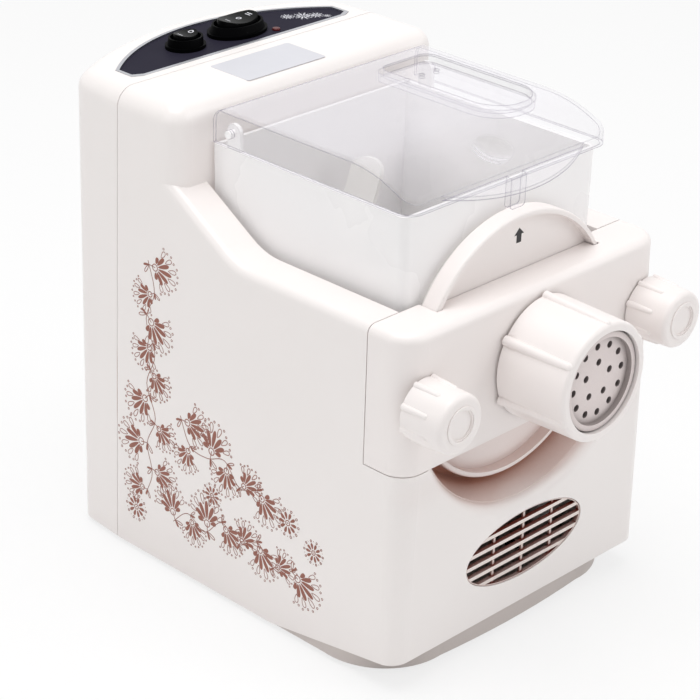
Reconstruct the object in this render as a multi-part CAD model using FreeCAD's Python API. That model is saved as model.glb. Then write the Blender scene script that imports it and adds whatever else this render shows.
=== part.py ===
import FreeCAD, Part
import math
import os

# Table top electric pasta maker, in millimetres.
# X runs across the machine, Y from the die (minus) to the back (plus), Z up.
# Sizes below count from the middle of the body; write_parts moves everything along Y,
# so that the origin lies on the table under the middle of the overall length.

# Body shells
width = 205.0
depth = 285.0
tower_top = 283.0
rim_top = 209.5
shell_wall = 2.8
corner_low = 10.0
corner_high = 16.0
rear_corner = 14.0
rear_arc = 185.0
flank_taper = 3.0
taper_start_y = 78.0
tower_front_y = 29.0
tower_corner = 12.0
tower_round = 11.0
rim_round = 5.0
slope_foot_y = -17.0
slope_angle = math.radians(31.0)
slope_blend = 40.0
slope_end_y = 55.0
knee_y = -49.0
toe_rise = 14.4
seam_bottom_y = 81.0
seam_top_y = 75.0
seam_gap = 0.4

# Feet and base
foot_height = 3.0
foot_radius = 8.0
foot_x = 80.0
foot_front_y = -88.0
foot_rear_y = 98.0
base_corner_y = -90.0
base_front_y = -138.0
base_front_half = 58.0
base_wall = 2.6

# Die and paddle line
axis_z = 169.5
trough_radius = 79.5
scoop_radius = 88.0
scoop_round = 8.0

# Front bracket
bracket_seam_y = -114.5
bracket_bottom = 130.0
bracket_wall = 3.0
bracket_gap = 0.6

# Front plate, feed tube, die and nut
plate_rear_y = -117.0
plate_front_y = -121.0
plate_lip_y = -127.3
plate_radius = 76.0
plate_lip = 3.0
tube_radius = 29.0
tube_bore = 20.4
tube_front_y = -178.0
die_radius = 28.0
die_face_radius = 24.5
die_face_y = -183.0
die_front_y = -186.0
die_hole = 2.0
die_outer_ring = 19.45
die_inner_ring = 10.0
nut_rear_y = -144.0
nut_front_y = -188.0
nut_rear_radius = 34.4
nut_front_radius = 33.4
nut_ribs = 6
nut_rib_phase = math.radians(28.0)

# Knobs on their studs
knob_x = 90.2
knob_rear_y = -143.2
knob_front_y = -169.5
knob_radius = 17.0
knob_ribs = 8
stud_radius = 4.0

# Bowl and lid
bowl_radius = 74.5
bowl_top_half = 76.0
bowl_top = 259.0
bowl_front_y = -113.0
bowl_rear_y = 27.0
bowl_wall = 2.4
bowl_mouth = 64.0
lid_half = 79.6
lid_wall = 2.0
lid_rear_y = 24.0
lid_front_y = -119.0
lid_top = 281.5
lid_skirt = 261.5
lid_bend_y = -72.0
lid_front_drop = 13.0
lid_corner = 10.0
hinge_y = 12.0
hinge_z = 269.0
hinge_pin = 2.2
ear_half = 5.0
ear_height = 18.0

# Control panel and switches
panel_chord_y = 83.0
panel_half = 82.5
panel_apex_y = 126.5
panel_radius = 128.0
trim_width = 2.0
panel_sink = 0.6
switch_y = 102.5
small_switch_x = -28.0
large_switch_x = 12.0

# Drive
motor_z = 46.0
gear_b_x = 20.0
running_fit = 0.05

half = width / 2
front_y = -depth / 2
rear_y = depth / 2
shell_bottom = foot_height
far = 400.0

shapes = {}


def V(x, y, z):
    return FreeCAD.Vector(x, y, z)


def box(x0, x1, y0, y1, z0, z1):
    return Part.makeBox(x1 - x0, y1 - y0, z1 - z0, V(x0, y0, z0))


def disc(x, z, radius, y0, y1):
    """Cylinder along Y, from y0 (front) to y1."""
    return Part.makeCylinder(radius, y1 - y0, V(x, y0, z), V(0, 1, 0))


def cone(x, z, front_radius, rear_radius, y0, y1):
    return Part.makeCone(front_radius, rear_radius, y1 - y0, V(x, y0, z), V(0, 1, 0))


def post(x, y, radius, z0, z1):
    return Part.makeCylinder(radius, z1 - z0, V(x, y, z0))


def ring(x, z, outer, inner, y0, y1):
    return disc(x, z, outer, y0, y1).cut(disc(x, z, inner, y0, y1))


def fused(pieces):
    whole = pieces[0]
    for piece in pieces[1:]:
        whole = whole.fuse(piece)
    return whole.removeSplitter()


def rounded(shape, radius, wanted):
    """Fillet of every edge that passes the wanted test."""
    edges = [edge for edge in shape.Edges if wanted(edge)]
    return shape.makeFillet(radius, edges)


def near(a, b, tolerance=0.01):
    return abs(a - b) < tolerance


def upright(edge, x, y):
    """True for a vertical edge standing at plus or minus x and at y."""
    places = all(near(abs(v.X), x, 0.2) and near(v.Y, y, 0.2) for v in edge.Vertexes)
    return places and not level(edge, edge.Vertexes[0].Z)


def level(edge, z):
    return all(near(v.Z, z) for v in edge.Vertexes)


def polygon(points):
    return Part.Face(Part.makePolygon(points + points[:1]))


def oval_wire(x, y, half_x, half_y, z):
    long_axis = V(half_x, 0, 0) if half_x > half_y else V(0, half_y, 0)
    short_axis = V(0, 0, 1).cross(long_axis) * (min(half_x, half_y) / max(half_x, half_y))
    middle = V(x, y, z)
    return Part.Wire(Part.Ellipse(middle + long_axis, middle + short_axis, middle).toShape())


def oval(x, y, half_x, half_y, z0, z1):
    """Upright elliptic column."""
    return Part.Face(oval_wire(x, y, half_x, half_y, z0)).extrude(V(0, 0, z1 - z0))


# Outer form shared by the shells

def corner_radius(z):
    """Radius of the front corners, which soften from the table up to the rim."""
    return corner_low + (corner_high - corner_low) * (z - shell_bottom) / (rim_top - shell_bottom)


def plan_prism(inset, z0, z1):
    """Footprint of the body: straight front and flanks, bowed back."""
    w = half - inset
    wr = w - flank_taper
    radius = rear_arc - inset
    middle_y = rear_y - rear_arc
    end_y = middle_y + math.sqrt(radius ** 2 - wr ** 2)
    front = front_y + inset
    corners = [V(-wr, end_y, z0), V(-w, taper_start_y, z0), V(-w, front, z0),
               V(w, front, z0), V(w, taper_start_y, z0), V(wr, end_y, z0)]
    back = Part.Arc(corners[-1], V(0, middle_y + radius, z0), corners[0]).toShape()
    sides = [Part.makeLine(a, b) for a, b in zip(corners, corners[1:])]
    solid = Part.Face(Part.Wire(sides + [back])).extrude(V(0, 0, z1 - z0))
    front_edges = [edge for edge in solid.Edges if upright(edge, w, front)]
    solid = solid.makeFillet(corner_radius(z0) - inset, corner_radius(z1) - inset, front_edges)
    return rounded(solid, rear_corner - inset, lambda e: upright(e, wr, end_y))


def toe_z(y):
    """Height of the shell's bottom edge ahead of the knee."""
    return shell_bottom + toe_rise * (knee_y - y) / (knee_y - front_y)


def low_prism(inset, reach):
    """Side outline of the body below the tower, extruded across X."""
    rim = rim_top - inset
    foot_y = slope_foot_y + inset * math.tan(slope_angle / 2)
    bottom = shell_bottom - inset
    blend = slope_blend * math.tan(slope_angle / 2)
    start = V(-reach, foot_y - blend, rim)
    end = V(-reach, foot_y + blend * math.cos(slope_angle), rim + blend * math.sin(slope_angle))
    bulge = slope_blend * (1 - math.cos(slope_angle / 2))
    middle = V(-reach, start.y + slope_blend * math.sin(slope_angle / 2), rim + bulge)
    high = V(-reach, slope_end_y, rim + math.tan(slope_angle) * (slope_end_y - foot_y))
    outline = [end, high, V(-reach, slope_end_y, bottom), V(-reach, knee_y, bottom),
               V(-reach, -far, toe_z(-far) - inset), V(-reach, -far, rim), start]
    edges = [Part.makeLine(p, q) for p, q in zip(outline, outline[1:])]
    edges.append(Part.Arc(start, middle, end).toShape())
    return Part.Face(Part.Wire(edges)).extrude(V(2 * reach, 0, 0))


def low_body(inset):
    """Lower body with its rim edges rounded."""
    solid = plan_prism(inset, -10, far).common(low_prism(inset, half + 20))
    rim = rim_top - inset

    def rim_edge(edge):
        middle = edge.valueAt((edge.FirstParameter + edge.LastParameter) / 2)
        outside = near(abs(middle.x), half - inset) or middle.y < front_y + corner_high + 4
        return outside and middle.z > rim - 0.01 and middle.y < slope_end_y - 0.1

    return rounded(solid, rim_round - min(inset, 2.0), rim_edge)


def tower_body(inset):
    """Upright rear part of the body, from the base to the control panel."""
    wall_y = tower_front_y + inset
    top = tower_top - inset
    solid = plan_prism(inset, shell_bottom - inset, top).common(box(-far, far, wall_y, far, -far, far))
    solid = rounded(solid, tower_corner - inset, lambda e: upright(e, half - inset, wall_y))
    return rounded(solid, tower_round - inset, lambda e: level(e, top))


def enclosure(inset):
    """The whole body without bowl trough, hollow or seams."""
    return low_body(inset).fuse(tower_body(inset)).removeSplitter()


def u_prism(radius, top_half, z_top, y0, y1):
    """Trough form: round bottom about the paddle line, straight sides."""
    left = V(-radius, y0, axis_z)
    right = V(radius, y0, axis_z)
    top_left = V(-top_half, y0, z_top)
    top_right = V(top_half, y0, z_top)
    bowl = Part.Arc(left, V(0, y0, axis_z - radius), right).toShape()
    sides = [Part.makeLine(right, top_right), Part.makeLine(top_right, top_left),
             Part.makeLine(top_left, left)]
    return Part.Face(Part.Wire([bowl] + sides)).extrude(V(0, y1 - y0, 0))


def trough(extra):
    """Space for the bowl, and the flared scoop under the front plate."""
    radius = trough_radius + extra
    channel = u_prism(radius, radius, far, bracket_seam_y - 3, tower_front_y + extra)
    flare = cone(0, axis_z, scoop_radius + extra, radius, front_y - 1, bracket_seam_y - 2)
    return channel.fuse(flare)


def scoop_mouth():
    """Rounded mouth of the scoop, turned about the paddle line."""
    lean = math.atan2(scoop_radius - trough_radius, bracket_seam_y - front_y)
    into = V(-math.sin(lean), math.cos(lean), 0)
    outward = V(1, 0, 0)
    corner = V(scoop_radius, front_y, 0)
    half_angle = math.acos(into.dot(outward)) / 2
    reach = scoop_round / math.tan(half_angle)
    inner = corner + into * reach
    outer = corner + outward * reach
    bisector = (into + outward).normalize()
    middle = corner + bisector * (scoop_round / math.sin(half_angle) - scoop_round)
    ends = [outer, outer + V(0, -1, 0), V(0, front_y - 1, 0), V(0, inner.y, 0), inner]
    edges = [Part.makeLine(a, b) for a, b in zip(ends, ends[1:])]
    edges.append(Part.Arc(inner, middle, outer).toShape())
    mouth = Part.Face(Part.Wire(edges)).revolve(V(0, 0, 0), V(0, 1, 0), 360)
    mouth.translate(V(0, 0, axis_z))
    return mouth


def bracket_space(extra):
    return box(-far, far, -far, bracket_seam_y + extra, bracket_bottom - extra, far)


def behind_seam(offset):
    """Everything behind the slightly leaning seam between the two shells."""
    low_y = seam_bottom_y + offset
    high_y = seam_top_y + offset
    lean = (low_y - high_y) / (tower_top - shell_bottom)
    points = [V(-far, low_y + lean * far, shell_bottom - far), V(-far, high_y - lean * far, tower_top + far),
              V(-far, far, tower_top + far), V(-far, far, shell_bottom - far)]
    return polygon(points).extrude(V(2 * far, 0, 0))


def seam_y(z):
    share = (z - shell_bottom) / (tower_top - shell_bottom)
    return seam_bottom_y + (seam_top_y - seam_bottom_y) * share


# Shells

vent_half_x = 48.0
vent_half_z = 20.5
vent_z = 54.5


def vent_ellipse(grow, y0, y1):
    a = vent_half_x + grow
    b = vent_half_z + grow
    centre = V(0, y0, vent_z)
    curve = Part.Ellipse(centre + V(a, 0, 0), centre + V(0, 0, b), centre)
    return Part.Face(Part.Wire(curve.toShape())).extrude(V(0, y1 - y0, 0))


rear_screw_x = 84.0
rear_screw_z = (28.0, 252.0)
screw_boss = 6.0
screw_radius = 2.0
screw_head = 3.8
rear_screw_head_y = 90.0
rear_screw_tip_y = 62.0


def rear_screw_places():
    return [(side * rear_screw_x, z) for side in (-1, 1) for z in rear_screw_z]


def base_screw_places():
    return [(side * foot_x, y) for side in (-1, 1) for y in (foot_front_y, foot_rear_y - 45)]


base_screw_top = 22.0
drive_hole = 13.0


def make_front_housing(outer, hollow):
    shell = outer.cut(hollow).cut(trough(0)).cut(scoop_mouth()).cut(bracket_space(0))
    for x, z in rear_screw_places():
        rib = box(min(x, math.copysign(half - 1.5, x)), max(x, math.copysign(half - 1.5, x)),
                  rear_screw_tip_y - 4, seam_y(z) - 1, z - 2, z + 2)
        shell = shell.fuse(disc(x, z, screw_boss, rear_screw_tip_y - 4, seam_y(z) - 1).fuse(rib))
    for x, y in base_screw_places():
        inner = math.copysign(half - 1.5, x)
        rib = box(min(x, inner), max(x, inner), y - 1.5, y + 1.5, base_screw_top - 6, base_screw_top + 14)
        shell = shell.fuse(post(x, y, screw_boss, base_screw_top - 6, base_screw_top + 14).fuse(rib))
    shell = shell.cut(behind_seam(-seam_gap / 2))
    for x, z in rear_screw_places():
        shell = shell.cut(disc(x, z, screw_radius, rear_screw_tip_y - 1, seam_y(z) + 2))
    for x, y in base_screw_places():
        shell = shell.cut(post(x, y, screw_radius, 0, base_screw_top + 1))
    shell = shell.cut(disc(0, axis_z, drive_hole, tower_front_y - 5, tower_front_y + 10))
    shell = shell.cut(vent_ellipse(0.2, front_y - 1, front_y + shell_wall + 1))
    for side in (-1, 1):
        shell = shell.cut(disc(side * knob_x, axis_z, stud_radius, bracket_seam_y - 1, bracket_seam_y + 8))
    return shell


slot_count = 7
slot_half = 34.0
slot_height = 3.0
slot_pitch = 8.0
slot_low_z = 78.0
inlet_half = 13.6
inlet_z = 40.0
inlet_half_z = 10.2


def make_rear_cover(outer, hollow):
    shell = outer.cut(hollow)
    for x, z in rear_screw_places():
        rib = box(min(x, math.copysign(half - 4, x)), max(x, math.copysign(half - 4, x)),
                  seam_y(z) + 1, rear_screw_head_y + 22, z - 2, z + 2)
        tube = disc(x, z, screw_boss, seam_y(z) + 1, rear_screw_head_y + 40)
        shell = shell.fuse(tube.fuse(rib).common(outer))
    shell = shell.common(behind_seam(seam_gap / 2))
    for x, z in rear_screw_places():
        shell = shell.cut(disc(x, z, screw_radius + 0.3, 0, far))
        shell = shell.cut(disc(x, z, screw_head + 0.4, rear_screw_head_y - 3, far))
    for row in range(slot_count):
        z = slot_low_z + row * slot_pitch
        shell = shell.cut(box(-slot_half, slot_half, rear_y - 25, far, z, z + slot_height))
    shell = shell.cut(box(-inlet_half, inlet_half, rear_y - 20, far,
                          inlet_z - inlet_half_z, inlet_z + inlet_half_z))
    return shell.cut(crescent(trim_width + 0.1, tower_top - 8, far))


def base_outline(inset, z0, z1):
    w = half - 0.7 - inset
    front = base_front_y + inset
    rear = rear_y - rear_arc + math.sqrt((rear_arc - inset - 0.7) ** 2 - (w - flank_taper) ** 2)
    corner = V(w - 9, (base_corner_y + front) / 2 - 6, z0)
    arc = [V(w, base_corner_y, z0), corner, V(base_front_half, front + 2.6, z0)]
    mirror = [V(-p.x, p.y, p.z) for p in arc]
    back = Part.Arc(V(-w + flank_taper, rear, z0), V(0, rear_y - inset - 0.7, z0),
                    V(w - flank_taper, rear, z0)).toShape()
    edges = [Part.makeLine(V(w - flank_taper, rear, z0), V(w, taper_start_y, z0)),
             Part.makeLine(V(w, taper_start_y, z0), arc[0]),
             Part.Arc(*arc).toShape(),
             Part.Arc(arc[2], V(0, front, z0), mirror[2]).toShape(),
             Part.Arc(mirror[2], mirror[1], mirror[0]).toShape(),
             Part.makeLine(mirror[0], V(-w, taper_start_y, z0)),
             Part.makeLine(V(-w, taper_start_y, z0), V(-w + flank_taper, rear, z0)),
             back]
    return Part.Face(Part.Wire(edges)).extrude(V(0, 0, z1 - z0))


def under_toe(gap):
    """Wedge below the rising bottom edge of the front shell."""
    points = [V(-far, knee_y + 2, -far), V(-far, knee_y + 2, shell_bottom - gap),
              V(-far, -far, toe_z(-far) - gap), V(-far, -far, -far)]
    return polygon(points).extrude(V(2 * far, 0, 0))


def make_base_plate():
    inner = shell_wall + 0.9
    wedge = base_outline(0, shell_bottom, 25).common(under_toe(0.5))
    insert = plan_prism(inner, shell_bottom, base_screw_top - 6.4)
    insert = insert.cut(box(-far, far, -far, base_front_y + base_wall + 1.2, 0, far))
    insert = insert.common(base_outline(0.6, shell_bottom, 25))
    pocket = base_outline(inner + base_wall, shell_bottom + base_wall, 60)
    plate = wedge.fuse(insert).cut(pocket)
    for x, y in base_screw_places():
        tube = post(x, y, screw_boss, shell_bottom, base_screw_top - 6.2)
        plate = plate.fuse(tube)
    for x, y in base_screw_places():
        plate = plate.cut(post(x, y, screw_radius + 0.3, 0, far))
        plate = plate.cut(post(x, y, screw_head + 0.4, 0, shell_bottom + 5))
    for x, y in foot_places():
        plate = plate.cut(post(x, y, foot_radius - 2.9, 0, shell_bottom + base_wall))
    return plate.removeSplitter()


def foot_places():
    return [(side * (foot_x - 22), y) for side in (-1, 1) for y in (foot_front_y, foot_rear_y)]


def make_feet():
    feet = []
    for x, y in foot_places():
        pad = Part.makeCone(foot_radius - 1, foot_radius, foot_height, V(x, y, 0))
        feet.append(pad.fuse(post(x, y, foot_radius - 3, foot_height, foot_height + base_wall)))
    return Part.makeCompound(feet)


grille_rows = 6
grille_bars_x = (-24.0, 0.0, 24.0)
grille_depth = 2.4


def make_vent_grille():
    """Oval frame with level slats and three uprights."""
    y0 = front_y + 0.5
    frame = vent_ellipse(0, y0, y0 + grille_depth).cut(vent_ellipse(-0.8, y0 - 1, y0 + 9))
    pitch = 2 * vent_half_z / grille_rows
    bars = []
    for row in range(1, grille_rows):
        z = vent_z - vent_half_z + row * pitch
        bars.append(box(-vent_half_x, vent_half_x, y0, y0 + grille_depth, z - 1.1, z + 1.1))
    for x in grille_bars_x:
        bars.append(box(x - 0.8, x + 0.8, y0 + 1.2, y0 + grille_depth, vent_z - vent_half_z,
                        vent_z + vent_half_z))
    slats = fused(bars).common(vent_ellipse(-0.4, y0, y0 + grille_depth))
    return frame.fuse(slats).removeSplitter()


# Control panel

def crescent(grow, z0, z1):
    """Panel outline: straight toward the bowl, bowed toward the back."""
    w = panel_half + grow
    chord = panel_chord_y - grow
    radius = panel_radius + grow
    centre_y = panel_apex_y - panel_radius
    end_y = centre_y + math.sqrt(radius ** 2 - w ** 2)
    corners = [V(-w, end_y, z0), V(-w, chord + 3, z0), V(-w + 6, chord, z0),
               V(w - 6, chord, z0), V(w, chord + 3, z0), V(w, end_y, z0)]
    edges = [Part.makeLine(a, b) for a, b in zip(corners, corners[1:])]
    edges.append(Part.Arc(corners[-1], V(0, centre_y + radius, z0), corners[0]).toShape())
    return Part.Face(Part.Wire(edges)).extrude(V(0, 0, z1 - z0))


large_switch = {"x": large_switch_x, "half_x": 20.0, "half_y": 13.8, "cap_x": 14.6, "cap_y": 9.4}
small_switch = {"x": small_switch_x, "half_x": 12.4, "half_y": 10.6, "cap_x": 8.2, "cap_y": 6.8}
boot_top = tower_top + 5.8
flange_top = tower_top + 1.4
mouth_gap_x = 1.4
mouth_gap_y = 0.8
cap_bottom = tower_top - 1.0
cap_top = tower_top + 8.8
rocker_pivot_z = tower_top - 5.0
rocker_pivot = 1.5
lamp_x = 31.0
lamp_y = 90.0
lamp_radius = 2.4


def make_panel():
    plate = crescent(0, tower_top - panel_sink - 2.2, tower_top - panel_sink)
    for switch in (large_switch, small_switch):
        plate = plate.cut(oval(switch["x"], switch_y, switch["half_x"] - 2, switch["half_y"] - 2, 0, far))
    return plate.cut(post(lamp_x, lamp_y, lamp_radius + 0.1, 0, far))


def make_panel_trim():
    band = crescent(trim_width, tower_top - 3.4, tower_top + 0.3)
    return band.cut(crescent(0.05, 0, far))


def make_boot(switch):
    """Rubber skirt that climbs from a flat flange to the rocker's sides."""
    x = switch["x"]
    a = switch["cap_x"] + mouth_gap_x
    b = switch["cap_y"] + mouth_gap_y
    flange = oval(x, switch_y, switch["half_x"], switch["half_y"], tower_top - panel_sink, flange_top)
    skirt = Part.makeLoft([oval_wire(x, switch_y, switch["half_x"] - 1.4, switch["half_y"] - 1.4, flange_top - 0.4),
                           oval_wire(x, switch_y, a + 1.1, b + 1.1, boot_top)], True)
    neck = oval(x, switch_y, switch["half_x"] - 2.2, switch["half_y"] - 2.2, tower_top - 4, tower_top)
    mouth = oval(x, switch_y, a, b, 0, far)
    return flange.fuse(skirt).fuse(neck).cut(mouth).removeSplitter()


def make_rocker(switch):
    """Rocking cap with a shallow valley across its top, on a pivot barrel."""
    x = switch["x"]
    a = switch["cap_x"]
    b = switch["cap_y"]
    cap = Part.makeLoft([oval_wire(x, switch_y, a, b, cap_bottom),
                         oval_wire(x, switch_y, a - 1.0, b - 0.8, cap_top)], True)
    valley = Part.makeCylinder(3.2 * a, 60, V(x, switch_y - 30, cap_top + 3.2 * a - 1.7), V(0, 1, 0))
    cap = cap.cut(valley)
    stem = box(x - 1.4, x + 1.4, switch_y - 4, switch_y + 4, rocker_pivot_z, cap_bottom + 1)
    barrel = disc(x, rocker_pivot_z, rocker_pivot, switch_y - b + 0.8, switch_y + b - 0.8)
    return cap.fuse(stem).fuse(barrel).removeSplitter()


def make_switch_body(switch):
    """Switch case with a cradle for the rocker's barrel, and three tabs below."""
    x = switch["x"]
    a = switch["cap_x"]
    b = switch["cap_y"]
    case = box(x - a, x + a, switch_y - b, switch_y + b, tower_top - 30, rocker_pivot_z)
    case = case.cut(box(x - 4, x + 4, switch_y - 5, switch_y + 5, tower_top - 10, tower_top))
    case = case.cut(disc(x, rocker_pivot_z, rocker_pivot + running_fit, switch_y - b + 0.7, switch_y + b - 0.7))
    for side in (-1, 0, 1):
        case = case.fuse(box(x + side * 5 - 0.4, x + side * 5 + 0.4, switch_y - 2.4, switch_y + 2.4,
                             tower_top - 38, tower_top - 29))
    return case.removeSplitter()


def make_lamp():
    lens = post(lamp_x, lamp_y, lamp_radius, tower_top - 9, tower_top + 0.6)
    return rounded(lens, 0.8, lambda e: level(e, tower_top + 0.6))


# Front bracket, plate, die, nut and knobs

def plate_space():
    dish = disc(0, axis_z, plate_radius + bracket_gap, plate_front_y - 0.5, 0)
    slot = ring(0, axis_z, plate_radius + bracket_gap, plate_radius - plate_lip - bracket_gap,
                plate_lip_y - 0.5, plate_front_y)
    return dish.fuse(slot)


def make_bracket(outer):
    gap = bracket_gap
    space = box(-far, far, -far, bracket_seam_y - gap, bracket_bottom + gap, far)
    block = outer.common(space)
    inner = plan_prism(bracket_wall, bracket_bottom + bracket_wall, rim_top - bracket_wall)
    inner = inner.common(box(-far, far, -far, bracket_seam_y - gap + 1, 0, far))
    for side in (-1, 1):
        inner = inner.cut(disc(side * knob_x, axis_z, stud_radius + 4, front_y, 0))
    inner = inner.cut(disc(0, axis_z, tube_radius + 4.5, front_y, plate_front_y - 1))
    for x in (-48.0, 48.0):
        inner = inner.cut(box(x - 1.2, x + 1.2, front_y, plate_lip_y - 2, 0, far))
    block = block.cut(inner).cut(plate_space())
    block = block.cut(disc(0, axis_z, tube_radius + 0.8, -far, 0))
    for side in (-1, 1):
        block = block.cut(disc(side * knob_x, axis_z, stud_radius + 0.5, -far, 0))
    return max(block.Solids, key=lambda solid: solid.Volume).removeSplitter()


spigot_outer = 63.4
spigot_rear_y = -110.0


def make_front_plate():
    """Dished disc with the feed tube on its front and a spigot on its back."""
    body = disc(0, axis_z, plate_radius, plate_lip_y, plate_rear_y)
    body = rounded(body, 1.4, lambda e: near(e.CenterOfMass.y, plate_lip_y))
    body = body.cut(disc(0, axis_z, plate_radius - plate_lip, plate_lip_y - 1, plate_front_y))
    body = body.fuse(disc(0, axis_z, tube_radius, tube_front_y, plate_rear_y))
    body = body.fuse(ring(0, axis_z, spigot_outer, spigot_outer - 2.2, plate_rear_y - 1, spigot_rear_y))
    for turn in range(4):
        body = body.fuse(ring(0, axis_z, tube_radius + 0.5, tube_radius - 1,
                              tube_front_y + 4 + turn * 5, tube_front_y + 6 + turn * 5))
    body = body.cut(disc(0, axis_z, tube_bore, -far, 0))
    return body.removeSplitter()


def make_front_seal():
    return ring(0, axis_z, 72.0, spigot_outer + 0.4, plate_rear_y, bowl_front_y - 0.1)


def ring_places(count, radius, start, step):
    angles = [start + step * i for i in range(count)]
    return [(radius * math.cos(a), axis_z + radius * math.sin(a)) for a in angles]


def make_die_plate():
    """Die with two rings of round holes and a raised rim."""
    plate = disc(0, axis_z, die_radius, die_front_y, tube_front_y)
    plate = rounded(plate, 0.8, lambda e: near(e.CenterOfMass.y, die_front_y))
    plate = plate.fuse(disc(0, axis_z, tube_radius + 0.3, tube_front_y - 3, tube_front_y))
    plate = plate.fuse(disc(0, axis_z, tube_bore - 0.1, tube_front_y, tube_front_y + 2))
    plate = plate.cut(disc(0, axis_z, die_face_radius, die_front_y - 1, die_face_y))
    holes = ring_places(12, die_outer_ring, 1.14, -math.radians(30))
    holes += ring_places(5, die_inner_ring, 1.14 + math.radians(24), math.radians(72))
    for x, z in holes:
        plate = plate.cut(disc(x, z, die_hole, -far, 0))
    return plate.removeSplitter()


def rib(angle, radius_rear, radius_front, y0, y1, thick, core_radius):
    """Rounded ridge lying along a tapering cap, y0 in front."""
    def place(radius, y):
        return V(radius * math.cos(angle), y, radius * math.sin(angle))
    front = place(radius_front - thick, y0)
    rear = place(radius_rear - thick, y1)
    run = rear - front
    rod = Part.makeCone(thick * 0.85, thick, run.Length, front, run)
    end = Part.makeSphere(thick * 0.85, front)
    web = [place(radius_front - thick, y0), place(radius_rear - thick, y1),
           place(core_radius, y1), place(core_radius, y0)]
    across = V(-math.sin(angle), 0, math.cos(angle)) * (thick * 0.8)
    points = [p - across for p in web]
    plate = polygon(points).extrude(across * 2)
    return rod.fuse(end).fuse(plate)


def make_die_nut():
    """Tapering ribbed nut that holds the die on the tube."""
    body = cone(0, 0, nut_front_radius, nut_rear_radius, nut_front_y, nut_rear_y)
    body = rounded(body, 2.2, lambda e: near(e.CenterOfMass.y, nut_front_y))
    ribs = []
    for i in range(nut_ribs):
        angle = nut_rib_phase + i * 2 * math.pi / nut_ribs
        ribs.append(rib(angle, nut_rear_radius + 2.6, nut_front_radius + 1.8, nut_front_y + 2.8,
                        nut_rear_y, 2.8, nut_front_radius - 5))
    body = fused([body] + ribs)
    body = body.cut(disc(0, 0, tube_radius + 0.9, tube_front_y - 3.2, 0))
    body = body.cut(disc(0, 0, die_radius + 0.5, -far, 0))
    body.translate(V(0, 0, axis_z))
    return body


def make_knob(x):
    """Clamping knob with a dished end and a ribbed skirt."""
    length = knob_rear_y - knob_front_y
    body = cone(0, 0, knob_radius - 0.6, knob_radius, knob_front_y, knob_rear_y)
    body = rounded(body, 3.0, lambda e: near(e.CenterOfMass.y, knob_front_y))
    body = body.cut(disc(0, 0, 8.0, knob_front_y - 1, knob_front_y + 0.9))
    ribs = []
    for i in range(knob_ribs):
        angle = (i + 0.5) * 2 * math.pi / knob_ribs
        ribs.append(rib(angle, knob_radius + 1.3, knob_radius + 0.7, knob_front_y + 0.42 * length,
                        knob_rear_y, 1.9, knob_radius - 5))
    body = fused([body] + ribs)
    body = body.cut(disc(0, 0, knob_radius - 4, knob_rear_y - 8, 0).cut(disc(0, 0, 8.5, -far, 0)))
    body = body.cut(disc(0, 0, 6.0, knob_rear_y - 16, 0))
    body.translate(V(x, 0, axis_z))
    return body


def make_knob_insert(x):
    """Brass thread insert pressed into the knob."""
    return ring(x, axis_z, 6.0, stud_radius + running_fit, knob_rear_y - 16, knob_rear_y - 1)


def make_stud(x):
    stud = disc(x, axis_z, stud_radius, knob_rear_y - 14, bracket_seam_y + shell_wall + 5)
    collar = disc(x, axis_z, 7.5, bracket_seam_y + shell_wall, bracket_seam_y + shell_wall + 5)
    return stud.fuse(collar).removeSplitter()


# Bowl, lid and paddle

def make_bowl():
    """Open topped trough with a round mouth in front and hinge ears behind."""
    bowl = u_prism(bowl_radius, bowl_top_half, bowl_top, bowl_front_y, bowl_rear_y)
    bowl = rounded(bowl, 5.0, lambda e: near(e.CenterOfMass.y, bowl_front_y) and not level(e, bowl_top))
    t = bowl_wall
    bowl = bowl.cut(u_prism(bowl_radius - t, bowl_top_half - t, far, bowl_front_y + t, bowl_rear_y - t))
    for side in (-1, 1):
        ear = box(0, t, -ear_half, ear_half, 0, ear_height)
        ear = rounded(ear, ear_half - 0.2, lambda e: near(e.CenterOfMass.z, ear_height) and near(e.Length, t))
        ear.translate(V(bowl_top_half - t, hinge_y, hinge_z + ear_half - ear_height))
        pin = Part.makeCylinder(hinge_pin, lid_half + 1.0 - bowl_top_half + 1,
                                V(bowl_top_half - 1, hinge_y, hinge_z), V(1, 0, 0))
        arm = ear.fuse(pin)
        if side < 0:
            arm = arm.mirror(V(0, 0, 0), V(1, 0, 0))
        bowl = bowl.fuse(arm)
    bowl = bowl.cut(disc(0, axis_z, bowl_mouth, bowl_front_y - 1, bowl_front_y + t + 1))
    bowl = bowl.fuse(disc(0, axis_z, 15.0, bowl_rear_y - t - 3, bowl_rear_y))
    return bowl.cut(disc(0, axis_z, journal_radius + running_fit, bowl_rear_y - 10, far)).removeSplitter()


def lid_profile(inset, reach):
    """Side outline of the lid, level behind and curving down in front."""
    top = lid_top - inset
    run = lid_bend_y - lid_front_y
    radius = (run ** 2 + lid_front_drop ** 2) / (2 * lid_front_drop)
    end = V(-reach, lid_front_y + inset, top - lid_front_drop)
    start = V(-reach, lid_bend_y, top)
    share = math.asin(run / radius) / 2
    middle = V(-reach, lid_bend_y - radius * math.sin(share), top - radius * (1 - math.cos(share)))
    bottom = lid_skirt - (5 if inset else 0)
    back = lid_rear_y + (20 if inset else 0)
    edges = [Part.Arc(start, middle, end).toShape(),
             Part.makeLine(end, V(-reach, lid_front_y + inset, bottom)),
             Part.makeLine(V(-reach, lid_front_y + inset, bottom), V(-reach, back, bottom)),
             Part.makeLine(V(-reach, back, bottom), V(-reach, back, top)),
             Part.makeLine(V(-reach, back, top), start)]
    form = Part.Face(Part.Wire(edges)).extrude(V(2 * reach, 0, 0))
    return rounded(form, lid_corner - inset, lambda e: upright(e, reach, lid_front_y + inset))


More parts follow.
